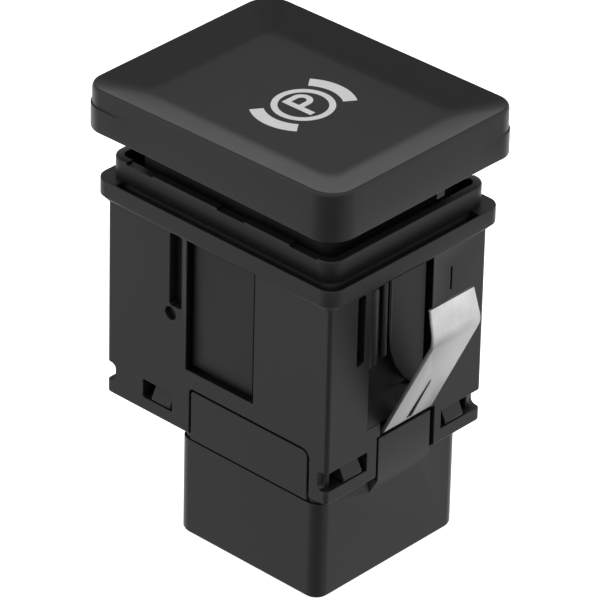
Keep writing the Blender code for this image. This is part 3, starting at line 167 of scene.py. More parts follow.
# span along X, span along Z, face along Y, height above it
POCKET_BEADS = (
    ((-6.25 * MM, -5.15 * MM), (28.75 * MM, 38.6 * MM), 17.02 * MM, 0.06 * MM),
    ((-3.6 * MM, -2.8 * MM), (28.75 * MM, 38.6 * MM), 16.4 * MM, 0.05 * MM),
    ((-2.5 * MM, -2.2 * MM), (30.5 * MM, 38.6 * MM), 16.5 * MM, 0.05 * MM),
)
BEAD_ROOT = -0.95 * MM        # how deep a bead reaches below its face
# outline of the pad in the pocket along X and Z in millimetres, and its span along Y
POCKET_PAD = ((-2.6, 38.69), (-2.6, 31.5), (-2.2, 29.0), (-1.2, 26.6), (0.2, 24.6), (1.6, 23.2),
              (3.25, 22.2), (3.25, 38.69))
POCKET_PAD_Y = (15.4 * MM, 16.5 * MM)
# the tight ends of the corner windows, where edges stay sharp: least X, span of Y and of Z
WINDOW_END = (11.8 * MM, (15.5 * MM, 16.2 * MM), (15.2 * MM, 17.8 * MM))
SHARP_ABOVE = CHAMFER_FOOT - 0.2 * MM

PIN_COUNT = 8

# How finely pieces are drawn
CORNER_STEPS = 12
SIDE_STEPS = 12
WAIST_STEPS = 8
BEAD_SIDES = 6
LOWER_ROUND_STEPS = 4
UPPER_ROUND_STEPS = 8
WELD = 0.002 * MM
SHARP_EDGE = math.radians(30)
FLAT_EDGE = math.radians(0.8)
EDGE_ROUND = 0.08 * MM
INNER_EDGE_ROUND = 0.06 * MM


def colour_setting(name, description, colour):
    """A colour on the panel."""
    return bpy.props.FloatVectorProperty(name=name, description=description, subtype="COLOR", size=3,
                                         min=0, max=1, default=colour)


def share_setting(name, description, share):
    """A number between 0 and 1 on the panel."""
    return bpy.props.FloatProperty(name=name, description=description, subtype="FACTOR", min=0, max=1,
                                   default=share)


class SwitchFinish(bpy.types.PropertyGroup):
    """Colours and roughness of the switch's materials."""
    housing_colour: colour_setting("Housing", "Colour of the moulded housing and base",
                                   (0.0105, 0.0105, 0.0112))
    cap_colour: colour_setting("Cap", "Colour of the cap", (0.0105, 0.0105, 0.011))
    symbol_colour: colour_setting("Symbol", "Colour of the printed symbol", (0.80, 0.80, 0.79))
    housing_roughness: share_setting("Housing roughness", "How dull the housing is", 0.42)
    cap_roughness: share_setting("Cap roughness", "How dull the cap is", 0.38)


class SwitchStudio(bpy.types.PropertyGroup):
    """Light and floor of the studio."""
    floor_size: bpy.props.FloatProperty(
        name="Floor", description="Width of the studio floor", unit="LENGTH", min=0.5, default=8.0)
    fill: bpy.props.FloatProperty(
        name="Fill", description="Even light from all round", min=0, default=0.0)


def settings():
    """The finishes that the panel shows."""
    return bpy.context.scene.switch_finish


def to_object(name, shape, material=None):
    """An object made of a shape, which is used up."""
    mesh = bpy.data.meshes.new(name)
    shape.to_mesh(mesh)
    shape.free()
    if material:
        mesh.materials.append(material)
    made = bpy.data.objects.new(name, mesh)
    bpy.context.scene.collection.objects.link(made)
    return made


def discard(made):
    """Takes a working object and its mesh away."""
    mesh = made.data
    bpy.data.objects.remove(made)
    bpy.data.meshes.remove(mesh)


def to_piece(name, shape, material, body, smooth):
    """A finished piece that rides on a CAD body. Edges sharper than smooth, in degrees, stay sharp."""
    made = to_object(name, shape, material)
    made.data.shade_smooth()
    made.data.set_sharp_from_angle(angle=math.radians(smooth))
    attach(made, body)
    return made


def ring(half, radius, height, middle=(0, 0), side_steps=1, swell=None):
    """Points round a rounded rectangle, anticlockwise from above. The radius may be one for each
    corner, the height may follow Y, and swell gives how far each point moves outwards."""
    radii = radius if isinstance(radius, tuple) else (radius,) * 4
    arcs = []
    for turn, (sx, sy) in enumerate(((1, 1), (-1, 1), (-1, -1), (1, -1))):
        corner = radii[turn]
        centre = Vector(middle) + Vector((sx * (half[0] - corner), sy * (half[1] - corner)))
        angles = [math.radians(90 * (turn + step / CORNER_STEPS)) for step in range(CORNER_STEPS + 1)]
        outs = [Vector((math.cos(angle), math.sin(angle))) for angle in angles]
        arcs.append([(centre + out * corner, out) for out in outs])
    placed = []
    for arc, following in zip(arcs, arcs[1:] + arcs[:1]):
        start, (end, turned) = arc[-1][0], following[0]
        side = [(start.lerp(end, step / side_steps), turned) for step in range(1, side_steps)]
        for point, out in arc + side:
            flat = point + out * swell(point, out) if swell else point
            placed.append(Vector((flat.x, flat.y, height(flat.y) if callable(height) else height)))
    return placed


def shrunk(half, inset):
    """Half sizes, drawn in on both axes."""
    return half - Vector((inset, inset))


def add_loft(shape, rings, tube=False):
    """Joins equal rings by faces. A tube runs back to its first ring, and any other is capped."""
    rows = [[shape.verts.new(point) for point in points] for points in rings]
    count = len(rows[0])
    pairs = list(zip(rows, rows[1:]))
    if tube:
        pairs.append((rows[-1], rows[0]))
    faces = []
    for lower, upper in pairs:
        for i in range(count):
            j = (i + 1) % count
            faces.append(shape.faces.new((lower[i], lower[j], upper[j], upper[i])))
    if not tube:
        faces.append(shape.faces.new(list(reversed(rows[0]))))
        faces.append(shape.faces.new(rows[-1]))
    bmesh.ops.recalc_face_normals(shape, faces=faces)


def add_box(shape, x, y, z):
    """A closed box between two limits on each axis."""
    low = Vector((min(x), min(y), min(z)))
    high = Vector((max(x), max(y), max(z)))
    place = Matrix.Translation((low + high) / 2) @ Matrix.Diagonal((*(high - low), 1))
    bmesh.ops.create_cube(shape, size=1, matrix=place)


def add_prism(shape, outline, ends):
    """A closed prism along Y, with its outline given along X and Z."""
    add_loft(shape, [[Vector((x, end, z)) for x, z in outline] for end in sorted(ends)])


def combined(shape, other, operation):
    """The first shape, cut or joined by the second. Both are used up."""
    first, tool = to_object("working", shape), to_object("working", other)
    boolean = first.modifiers.new("working", "BOOLEAN")
    boolean.object = tool
    boolean.operation = operation
    result = bmesh.new()
    result.from_object(first, bpy.context.evaluated_depsgraph_get())
    discard(first)
    discard(tool)
    return result


# Node trees
NUMBER = "NodeSocketFloat"
COLOUR = "NodeSocketColor"


def feed(tree, socket, value):
    """Gives a socket another node's output, or a value of its own."""
    if isinstance(value, bpy.types.NodeSocket):
        tree.links.new(value, socket)
    else:
        socket.default_value = value


def add_node(tree, kind, place, inputs=None, **settings):
    """A node with its settings, and with values or other nodes' outputs at its inputs."""
    node = tree.nodes.new(kind)
    node.location = place
    for key, value in settings.items():
        setattr(node, key, value)
    for key, value in (inputs or {}).items():
        feed(tree, node.inputs[key], value)
    return node


def maths(tree, operation, place, *values):
    """The result of a maths node."""
    return add_node(tree, "ShaderNodeMath", place, dict(enumerate(values)), operation=operation).outputs[0]


def scaled(tree, colour, factor, place):
    """A colour times a factor."""
    inputs = {0: colour, "Scale": factor}
    return add_node(tree, "ShaderNodeVectorMath", place, inputs, operation="SCALE").outputs[0]


def dot(tree, one, other, place):
    """The dot product of two directions."""
    inputs = {0: one, 1: other}
    return add_node(tree, "ShaderNodeVectorMath", place, inputs, operation="DOT_PRODUCT").outputs["Value"]


def ranged(tree, value, span, place, to=(0, 1), **settings):
    """Runs from the first to the second number of to while the value crosses its span."""
    inputs = {"Value": value, "From Min": span[0], "From Max": span[1], "To Min": to[0], "To Max": to[1]}
    return add_node(tree, "ShaderNodeMapRange", place, inputs, **settings).outputs["Result"]


def object_place(tree, place):
    """The place of each point on its object."""
    return add_node(tree, "ShaderNodeTexCoord", place).outputs["Object"]


def noise(tree, where, scale, place, detail, roughness=0.5):
    """Noise between 0 and 1."""
    inputs = {"Vector": where, "Scale": scale, "Detail": detail, "Roughness": roughness}
    return add_node(tree, "ShaderNodeTexNoise", place, inputs).outputs["Fac"]


def new_group(name, inputs, outputs):
    """A shader node group with its named sockets, and what comes in through them."""
    group = bpy.data.node_groups.new(name, "ShaderNodeTree")
    for label, kind, value in inputs:
        group.interface.new_socket(name=label, in_out="INPUT", socket_type=kind).default_value = value
    for label, kind in outputs:
        group.interface.new_socket(name=label, in_out="OUTPUT", socket_type=kind)
    return group, add_node(group, "NodeGroupInput", (-900, 0)).outputs


def close_group(group, results):
    """Puts a group's results out through its named sockets."""
    add_node(group, "NodeGroupOutput", (700, 0), results)
    return group


def shared(build):
    """Lets a node group be built once only. The group has its builder's name."""
    def once():
        return bpy.data.node_groups.get(build.__name__) or build(build.__name__)
    return once


@shared
def moulded_grain(name):
    """Fine spark-eroded grain, with broad flow marks, for moulded plastic."""
    group, given = new_group(
        name,
        [("Grain Size", NUMBER, 0.12 * MM), ("Flow Size", NUMBER, 6 * MM),
         ("Colour", COLOUR, (0.02, 0.02, 0.02, 1)), ("Colour Change", NUMBER, 0.2),
         ("Roughness", NUMBER, 0.4), ("Roughness Change", NUMBER, 0.06)],
        [("Colour", COLOUR), ("Roughness", NUMBER), ("Height", NUMBER)])
    where = object_place(group, (-900, 300))
    grain_scale = maths(group, "DIVIDE", (-700, 0), 1, given["Grain Size"])
    flow_scale = maths(group, "DIVIDE", (-700, -200), 1, given["Flow Size"])
    grain = noise(group, where, grain_scale, (-450, 200), detail=2, roughness=0.6)
    flow = noise(group, where, flow_scale, (-450, -200), detail=3)
    signed = maths(group, "SUBTRACT", (-200, -200), flow, 0.5)
    tint = maths(group, "MULTIPLY_ADD", (0, -100), signed, given["Colour Change"], 1)
    colour = scaled(group, given["Colour"], tint, (200, -50))
    rough = maths(group, "MULTIPLY_ADD", (200, -300), signed, given["Roughness Change"], given["Roughness"])
    return close_group(group, {"Colour": colour, "Roughness": rough, "Height": grain})


@shared
def edge_wear(name):
    """Mask of edges, for wear and a painted highlight along them: where the surface turns within a short
    width, broken up by noise.
    """
    group, given = new_group(name, [("Width", NUMBER, 0.12 * MM), ("Patch Size", NUMBER, 0.9 * MM)],
                             [("Mask", NUMBER)])
    rounded = add_node(group, "ShaderNodeBevel", (-650, 200), {"Radius": given["Width"]}, samples=4)
    flat = add_node(group, "ShaderNodeNewGeometry", (-650, 0))
    along = dot(group, rounded.outputs["Normal"], flat.outputs["Normal"], (-450, 100))
    edge = ranged(group, along, (0.90, 0.74), (-250, 100))
    scale = maths(group, "DIVIDE", (-700, -250), 1, given["Patch Size"])
    patches = noise(group, object_place(group, (-900, -400)), scale, (-500, -250), detail=4)
    broken = ranged(group, patches, (0.42, 0.66), (-250, -250))
    return close_group(group, {"Mask": maths(group, "MULTIPLY", (0, 0), edge, broken)})


@shared
def recess_shade(name):
    """How open each place is, to darken recesses: 1 in the open, less in a corner."""
    group, given = new_group(name, [("Distance", NUMBER, 1 * MM), ("Power", NUMBER, 2)], [("Open", NUMBER)])
    shade = add_node(group, "ShaderNodeAmbientOcclusion", (-500, 0), {"Distance": given["Distance"]},
                     samples=8, only_local=True)
    power = maths(group, "POWER", (-200, 0), shade.outputs["AO"], given["Power"])
    return close_group(group, {"Open": power})


@shared
def worked_metal(name):
    """Grain and stains of rolled, drawn or plated metal, stretched by its three scales."""
    group, given = new_group(
        name,
        [("Grain Scale", "NodeSocketVector", (8000, 8000, 8000)), ("Stain Size", NUMBER, 2.5 * MM),
         ("Colour", COLOUR, (0.6, 0.6, 0.6, 1)), ("Contrast", NUMBER, 0.3), ("Roughness", NUMBER, 0.3)],
        [("Colour", COLOUR), ("Roughness", NUMBER), ("Height", NUMBER)])
    where = object_place(group, (-900, 300))
    stretched = add_node(group, "ShaderNodeVectorMath", (-700, 200), {0: where, 1: given["Grain Scale"]},
                         operation="MULTIPLY").outputs[0]
    grain = noise(group, stretched, 1, (-500, 200), detail=4, roughness=0.7)
    stain_scale = maths(group, "DIVIDE", (-700, -200), 1, given["Stain Size"])
    stains = noise(group, where, stain_scale, (-500, -200), detail=5)
    signed = maths(group, "SUBTRACT", (-100, 100), maths(group, "ADD", (-300, 100), grain, stains), 1)
    tone = maths(group, "MULTIPLY_ADD", (100, 100), signed, given["Contrast"], 1)
    colour = scaled(group, given["Colour"], tone, (300, 50))
    rough = maths(group, "MULTIPLY", (300, -200), given["Roughness"], tone)
    return close_group(group, {"Colour": colour, "Roughness": rough, "Height": grain})


def new_material(name):
    """A material, its tree and its main shader."""
    material = bpy.data.materials.new(name)
    material.use_nodes = True
    return material, material.node_tree, material.node_tree.nodes["Principled BSDF"]


def placed_group(tree, group, place, inputs=None):
    """What comes out of a node group in a material, with its values set."""
    return add_node(tree, "ShaderNodeGroup", place, inputs, node_tree=group).outputs


def set_surface(tree, shader, colour, roughness, height, depth):
    """Gives a shader its colour and roughness, and grain that stands out by the given depth."""
    bump = add_node(tree, "ShaderNodeBump", (-300, -400), {"Height": height, "Distance": depth})
    feed(tree, shader.inputs["Base Color"], colour)
    feed(tree, shader.inputs["Roughness"], roughness)
    feed(tree, shader.inputs["Normal"], bump.outputs["Normal"])


def plastic(name, colour, roughness, grain_size=0.12 * MM, grain_depth=0.004 * MM, wear_and_sheen_amount=0.5, clear=0.0):
    """Moulded plastic with grain, flow marks, painted shade in its recesses, and worn edges that are
    smoother and lighter, the lightening partly wear and partly a painted highlight.
    """
    material, tree, shader = new_material(name)
    shader.inputs["Specular IOR Level"].default_value = 0.5
    if clear:
        shader.inputs["Transmission Weight"].default_value = clear
        shader.inputs["IOR"].default_value = 1.49
    grain = placed_group(tree, moulded_grain(), (-900, 0),
                         {"Grain Size": grain_size, "Colour": (*colour, 1), "Roughness": roughness})
    shade = placed_group(tree, recess_shade(), (-900, 300), {"Distance": 1 * MM})
    wear_and_sheen = placed_group(tree, edge_wear(), (-900, -300))["Mask"]
    # painted shade: the colour is darkened where recesses and corners close round each place
    darker = scaled(tree, grain["Colour"], shade["Open"], (-600, 100))
    # painted highlight and wear: edges are lightened and made smoother by the mask
    lift = maths(tree, "MULTIPLY_ADD", (-600, -150), wear_and_sheen, wear_and_sheen_amount, 1)
    lighter = scaled(tree, darker, lift, (-350, 100))
    polish = -0.15 * roughness * wear_and_sheen_amount
    smoother = maths(tree, "MULTIPLY_ADD", (-350, -150), wear_and_sheen, polish, grain["Roughness"])
    set_surface(tree, shader, lighter, smoother, grain["Height"], grain_depth)
    return material


def metal(name, colour, roughness, stretch=(1, 1, 1), grain_size=0.15 * MM, grain_depth=0.003 * MM,
          contrast=0.3):
    """Rolled, drawn or plated metal, with grain stretched along its working direction."""
    material, tree, shader = new_material(name)
    shader.inputs["Metallic"].default_value = 1.0
    grain = placed_group(tree, worked_metal(), (-700, 0),
                         {"Grain Scale": [s / grain_size for s in stretch], "Colour": (*colour, 1),
                          "Contrast": contrast, "Roughness": roughness})
    wear_and_sheen = placed_group(tree, edge_wear(), (-700, -300), {"Width": 0.06 * MM})["Mask"]
    # painted highlight and wear: metal edges are brightened by the mask
    brighter = maths(tree, "MULTIPLY_ADD", (-450, -250), wear_and_sheen, 0.2, 1)
    toned = scaled(tree, grain["Colour"], brighter, (-300, 50))
    set_surface(tree, shader, toned, grain["Roughness"], grain["Height"], grain_depth)
    return material


def base_colour(material):
    """A finished material's tree, its colour socket and what feeds it."""
    tree = material.node_tree
    socket = tree.nodes["Principled BSDF"].inputs["Base Color"]
    return tree, socket, socket.links[0].from_socket


def dress(node, material):
    """Gives a CAD part its finish."""
    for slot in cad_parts[node].material_slots:
        slot.material = material


def softened(node, name, width, material, body, smooth=60, coarse=None, fine=(), added=None,
             skip=None):
    """A finer piece in place of a CAD part: the same form with its outward sharp edges rounded, then
    cut by fine grooves. Skip tells by an edge's middle which edges stay sharp."""
    shape = bmesh.new()
    shape.from_mesh(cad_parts[node].data)
    bmesh.ops.remove_doubles(shape, verts=shape.verts, dist=WELD)
    if coarse:
        shape = combined(shape, coarse, "DIFFERENCE")
        bmesh.ops.remove_doubles(shape, verts=shape.verts, dist=WELD)
    bmesh.ops.dissolve_limit(shape, angle_limit=FLAT_EDGE, verts=shape.verts, edges=shape.edges)
    worn = [edge for edge in shape.edges
            if edge.is_manifold and edge.is_convex and edge.calc_face_angle() > SHARP_EDGE
            and not (skip and skip((edge.verts[0].co + edge.verts[1].co) / 2))]
    bmesh.ops.bevel(shape, geom=worn, offset=width, segments=2, profile=0.5, affect="EDGES",
                    clamp_overlap=False)
    for cutter in fine:
        shape = combined(shape, cutter, "DIFFERENCE")
    if added:
        working = to_object("working", added)
        shape.from_mesh(working.data)
        discard(working)
    dress(node, material)
    made = to_piece(name, shape, material, body, smooth)
    weighted = made.modifiers.new("even_shading", "WEIGHTED_NORMAL")
    weighted.keep_sharp = True
    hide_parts(node)
    return made


def face_span(face, side, low, high):
    """Two limits across a face on one side of the part, measured outwards from the face."""
    return (side * (face + low), side * (face + high))


def stays_sharp(place):
    """The lip's chamfer and the tight ends of the corner windows keep their edges."""
    least_x, (low_y, high_y), (low_z, high_z) = WINDOW_END
    window = abs(place.x) > least_x and low_y < abs(place.y) < high_y and low_z < place.z < high_z
    return window or place.z > SHARP_ABOVE


def above_lip():
    """Everything above the lip's foot, which the rim takes over."""
    cuts = bmesh.new()
    reach = 2 * LIP_HALF
    add_box(cuts, (-reach.x, reach.x), (-reach.y, reach.y), (LIP_FOOT, RIM_CUT_TOP))
    return cuts


def face_grooves():
    """Fine grooves and undercuts of the housing's faces, in sets whose boxes stay apart."""
    lines, sides, feet = bmesh.new(), bmesh.new(), bmesh.new()
    for side in (-1, 1):
        across, along = HOUSING_FACE.x, HOUSING_FACE.y
        panel_under = face_span(across, side, PANEL_CUT, SKIN)
        pocket_under = face_span(along, side, POCKET_SLOT_CUT, SKIN)
        add_box(lines, face_span(across, side, PANEL_CUT, PANEL_LINE_TOP), PANEL_LINE_Y, PANEL_LINE_Z)
        add_box(lines, (POCKET_SLOT_X[0], POCKET_RIGHT),
                face_span(along, side, POCKET_SLOT_CUT, POCKET_LAP), POCKET_SLOT_Z)
        add_box(sides, panel_under, (PANEL_Y[1] - PANEL_LAP, PANEL_Y[1] + PANEL_UNDERCUT), PANEL_LINE_Z)
        add_box(sides, (POCKET_RIGHT - POCKET_LAP, POCKET_SLOT_X[1]), pocket_under, POCKET_SLOT_Z)
        add_box(feet, panel_under, (PANEL_Y[0] + PANEL_FOOT_SETBACK, PANEL_Y[1] + PANEL_UNDERCUT),
                (PANEL_LINE_Z[0] - PANEL_UNDERCUT, PANEL_LINE_Z[0] + PANEL_LAP))
    return lines, sides, feet


def housing_beads():
    """Fine upright beads on the pocket's rib and beside its groove, and a pad on its floor."""
    beads = bmesh.new()
    pad = [(x * MM, z * MM) for x, z in POCKET_PAD]
    for side in (-1, 1):
        for (left, right), (low, high), face, proud in POCKET_BEADS:
            middle, half = (left + right) / 2, (right - left) / 2
            outline = [(middle + half * math.cos(a), proud * math.sin(a))
                       for a in (math.pi * k / BEAD_SIDES for k in range(BEAD_SIDES + 1))]
            outline += [(left, BEAD_ROOT), (right, BEAD_ROOT)]
            add_loft(beads, [[Vector((x, side * (face + y), z)) for x, y in outline] for z in (low, high)])
        add_prism(beads, pad, (side * POCKET_PAD_Y[0], side * POCKET_PAD_Y[1]))
    return beads


def rim_sections():
    """Rings of the rim: up the lip, down into the channel, up the collar and down its inside."""
    def lip(inset, height):
        return ring(shrunk(LIP_HALF, inset), LIP_CORNER - inset, height)

    def collar(inset, height):
        return ring(shrunk(COLLAR_HALF, inset), COLLAR_CORNER - inset, height, middle=COLLAR_MIDDLE)
    turn = math.radians(45)
    soft = 1 - math.sin(turn)
    foot = LIP_FOOT - RIM_LAP
    waist_foot = BEAD_TOP + BEAD_STEP
    waist = []
    for step in range(WAIST_STEPS + 1):
        share = step / WAIST_STEPS
        waist.append(collar(COLLAR_WAIST * (1 - share) ** 2, waist_foot + (WAIST_TOP - waist_foot) * share))
    return [
        lip(0, foot),
        lip(0, LIP_TOP - LIP_ROUND),
        lip(LIP_ROUND * soft, LIP_TOP - LIP_ROUND * soft),
        lip(LIP_ROUND, LIP_TOP),
        lip(LIP_WALL, LIP_TOP),
        lip(LIP_WALL + LIP_DRAFT, RIM_FLOOR),
        collar(COLLAR_WAIST - BEAD_STEP, RIM_FLOOR),
        collar(COLLAR_WAIST - BEAD_STEP, BEAD_TOP),
        *waist,
        collar(0, COLLAR_TOP - COLLAR_ROUND),
        collar(COLLAR_ROUND * soft, COLLAR_TOP - COLLAR_ROUND * soft),
        collar(COLLAR_ROUND, COLLAR_TOP),
        collar(COLLAR_WALL, COLLAR_TOP),
        collar(COLLAR_WALL, foot),
    ]


def add_channel_end(shape, side_x, side_y):
    """Closes the channel round one corner, flush with the lip."""
    outer_radius = LIP_CORNER - LIP_WALL + CHANNEL_LAP
    inner_radius = COLLAR_CORNER - COLLAR_WAIST - CHANNEL_LAP
    outer = shrunk(LIP_HALF, LIP_CORNER)
    inner = shrunk(COLLAR_HALF, COLLAR_CORNER)
    centre_out = Vector((side_x * outer.x, side_y * outer.y))
    centre_in = Vector((side_x * inner.x + COLLAR_MIDDLE[0], side_y * inner.y + COLLAR_MIDDLE[1]))
    stations = []
    for step in range(CORNER_STEPS + 1):
        angle = math.radians(90 * step / CORNER_STEPS)
        out = Vector((side_x * math.cos(angle), side_y * math.sin(angle)))
        stations.append((centre_out + out * outer_radius, centre_in + out * inner_radius))
    near, far = stations[0], stations[-1]
    low_y = min(abs(near[0].y), abs(near[1].y)) - CHANNEL_RUN.x
    low_x = min(abs(far[0].x), abs(far[1].x)) - CHANNEL_RUN.y
    stations.insert(0, (Vector((near[0].x, side_y * low_y)), Vector((near[1].x, side_y * low_y))))
    stations.append((Vector((side_x * low_x, far[0].y)), Vector((side_x * low_x, far[1].y))))
    foot, top = RIM_FLOOR - CHANNEL_LAP, LIP_TOP - CHANNEL_TOP_GAP
    add_loft(shape, [[Vector((*a, foot)), Vector((*a, top)), Vector((*b, top)), Vector((*b, foot))]
                     for a, b in stations])


def make_rim(material):
    """The lip, channel and notched collar, as one piece."""
    shape, notches, ends = bmesh.new(), bmesh.new(), bmesh.new()
    add_loft(shape, rim_sections(), tube=True)
    for side in (-1, 1):
        face = side * COLLAR_HALF.x + COLLAR_MIDDLE[0]
        reach = (face - side * (COLLAR_WALL + NOTCH_REACH[0]), face + side * NOTCH_REACH[1])
        for y in NOTCH_Y:
            add_box(notches, reach, (y - NOTCH_WIDTH / 2, y + NOTCH_WIDTH / 2),
                    (COLLAR_TOP - NOTCH_DEPTH, NOTCH_CUT_TOP))
    shape = combined(shape, notches, "DIFFERENCE")
    for side in (-1, 1):
        add_channel_end(ends, side, -side)
    shape = combined(shape, ends, "UNION")
    return to_piece("moulded_rim", shape, material, "switch_body", smooth=50)


class SwitchHousing(bpy.types.Operator):
    """Moulds the housing, its rim and the connector base"""
    bl_idname = "switch.housing"
    bl_label = "Housing and base"

    def execute(self, context):
        finish = settings()
        case = plastic("moulded_case", finish.housing_colour, finish.housing_roughness)
        body, slot = "switch_body", "housing_plastic"
        softened("housing", "moulded_housing", EDGE_ROUND, case, body, smooth=35,
                 coarse=above_lip(), fine=face_grooves(), added=housing_beads(),
                 skip=stays_sharp)
        softened("base", "moulded_base", EDGE_ROUND, case, body)
        make_rim(case)
        return {"FINISHED"}


def crest(drop):
    """The height at each Y, a fixed drop below the cap's sloping crest."""
    return lambda y: CAP_CREST - CAP_TILT * y - drop


def eased(value, low, high):
    """0 below low, 1 above high, and a smooth rise between them."""
    share = min(max((value - low) / (high - low), 0), 1)
    return share * share * (3 - 2 * share)


def upper_swell(point, out):
    """How far the cap's upper part stands out at its right side."""
    return CAP_SWELL * eased(point.x, *CAP_SWELL_X) * eased(out.x, 0, 1)


def lower_swell(point, out):
    """The lower part stands further out at the right side and the left corner, where the seam shows."""
    right = eased(point.x, *SEAM_RIGHT_X)
    left = eased(point.y, *SEAM_LEFT_Y) * eased(-point.x, *SEAM_LEFT_X)
    return upper_swell(point, out) + CAP_SEAM_STEP * max(right, left)


def cap_sections():
    """Rings from the cap's ceiling, round the skirt, over the crest and down into the dish."""
    def grown(inset, height, swell=None):
        corners = tuple(corner - inset for corner in CAP_CORNERS)
        return ring(shrunk(CAP_HALF, inset), corners, height, side_steps=SIDE_STEPS, swell=swell)
    seam = CAP_BOTTOM + CAP_SEAM_HEIGHT
    sections = [grown(CAP_WALL, CAP_CEILING), grown(CAP_WALL, CAP_BOTTOM)]
    for step in range(LOWER_ROUND_STEPS + 1):
        angle = math.radians(90 * step / LOWER_ROUND_STEPS)
        sections.append(grown(CAP_LOWER_ROUND * (1 - math.sin(angle)),
                              CAP_BOTTOM + CAP_LOWER_ROUND * (1 - math.cos(angle)), lower_swell))
    sections.append(grown(0, seam - CAP_SEAM_HALF, lower_swell))
    sections.append(grown(0, seam + CAP_SEAM_HALF, upper_swell))
    for step in range(UPPER_ROUND_STEPS + 1):
        angle = math.radians(90 * step / UPPER_ROUND_STEPS)
        sections.append(grown(CAP_UPPER_ROUND.x * (1 - math.cos(angle)),
                              crest(CAP_UPPER_ROUND.y * (1 - math.sin(angle))), upper_swell))
    rim = shrunk(CAP_HALF, CAP_RIM)
    steepness = 2 / (1 + DISH_STRAIGHT)
    for share in DISH_SHARES:
        past = max(share - DISH_STRAIGHT, 0)
        fall = steepness * (share - past * past / (2 * (1 - DISH_STRAIGHT)))
        corners = tuple((corner - CAP_RIM) + (DISH_CORNER - corner + CAP_RIM) * share
                        for corner in CAP_CORNERS)
        sections.append(ring(rim.lerp(DISH_HALF, share), corners, crest(DISH_DEPTH * fall),
                             side_steps=SIDE_STEPS,
                             swell=lambda point, out, left=1 - share: upper_swell(point, out) * left))
    return sections


def add_socket(shape):
    """The ring under the cap that grips the plunger, with a window for its nib at each end."""
    low, high = CAP_CEILING - SOCKET_DEPTH, CAP_CEILING + SOCKET_LAP
    outer = shrunk(SOCKET_HALF, -SOCKET_WALL)
    corner = SOCKET_CORNER + SOCKET_WALL
    walls, windows = bmesh.new(), bmesh.new()
    add_loft(walls, [ring(outer, corner, low), ring(outer, corner, high),
                     ring(SOCKET_HALF, SOCKET_CORNER, high), ring(SOCKET_HALF, SOCKET_CORNER, low)],
             tube=True)
    window_foot = low + NIB_WINDOW_FOOT
    for side in (-1, 1):
        add_box(windows, (-NIB_WINDOW_WIDTH / 2, NIB_WINDOW_WIDTH / 2),
                (side * (SOCKET_HALF.y - CUT_PAST), side * (outer.y + CUT_PAST)),
                (window_foot, window_foot + NIB_WINDOW_HEIGHT))
    walls = combined(walls, windows, "DIFFERENCE")
    return combined(shape, walls, "UNION")


class SwitchCap(bpy.types.Operator):
    """Builds the dished cap"""
    bl_idname = "switch.cap"
    bl_label = "Cap"

    def execute(self, context):
        finish = settings()
        material = plastic("moulded_cap", finish.cap_colour, finish.cap_roughness)
        shape = bmesh.new()
        add_loft(shape, cap_sections())
        shape = add_socket(shape)
        tab = bmesh.new()
        face = CAP_TAB_SETBACK - CAP_HALF.y
        add_box(tab, CAP_TAB_X, (face, face + CAP_TAB_THICKNESS),
                (CAP_BOTTOM - CAP_TAB_DROP, CAP_BOTTOM + CAP_TAB_SETBACK))
        shape = combined(shape, tab, "UNION")
        dress("button_cap", material)
        cap = to_piece("dished_cap", shape, material, "button", smooth=26)
        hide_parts("button_cap")
        return {"FINISHED"}


# Symbol: a letter in a ring between two arcs, measured on the dish's floor
SYMBOL_MIDDLE = Vector((-0.06 * MM, -0.60 * MM))
RING_OUTER = 3.62 * MM
RING_INNER = 2.86 * MM
ARC_INNER = 4.45 * MM
ARC_OUTER = 6.06 * MM
ARC_HALF_ANGLE = 36.3         # degrees
STEM_X = (-1.22 * MM, -0.44 * MM)
STEM_Y = (-2.74 * MM, 1.60 * MM)
BOWL_MIDDLE = Vector((0.60 * MM, 0.30 * MM))
BOWL_OUTER = 1.30 * MM
BOWL_INNER = 0.57 * MM
PRINT_PROUD = 0.02 * MM
PRINT_SUNK = 0.04 * MM
CIRCLE_STEPS = 72
ARC_STEPS = 24
BOWL_STEPS = (20, 14)         # outside and inside


def circle(middle, radius, start=0, end=360, steps=CIRCLE_STEPS):
    """Points round a circle, or round part of one. A full circle doesn't repeat its first point."""
    count = steps if end - start == 360 else steps + 1
    angles = [math.radians(start + (end - start) * step / steps) for step in range(count)]
    return [Vector((middle.x + radius * math.cos(a), middle.y + radius * math.sin(a))) for a in angles]


def arc_strip(turn):
    """Outline of one of the two arcs beside the ring."""
    start, end = turn - ARC_HALF_ANGLE, turn + ARC_HALF_ANGLE
    outer = circle(SYMBOL_MIDDLE, ARC_OUTER, start, end, ARC_STEPS)
    inner = circle(SYMBOL_MIDDLE, ARC_INNER, start, end, ARC_STEPS)
    return outer + inner[::-1]


def letter_outlines():
    """Outer and inner outline of the letter."""
    (left, right), (low, high) = STEM_X, STEM_Y
    outer = [Vector((left, low)), Vector((right, low)), Vector((right, BOWL_MIDDLE.y - BOWL_OUTER))]
    outer += circle(BOWL_MIDDLE, BOWL_OUTER, -90, 90, BOWL_STEPS[0])
    outer.append(Vector((left, high)))
    inner = [Vector((right, BOWL_MIDDLE.y - BOWL_INNER))]
    inner += circle(BOWL_MIDDLE, BOWL_INNER, -90, 90, BOWL_STEPS[1])
    inner.append(Vector((right, BOWL_MIDDLE.y + BOWL_INNER)))
    return [outer, inner]


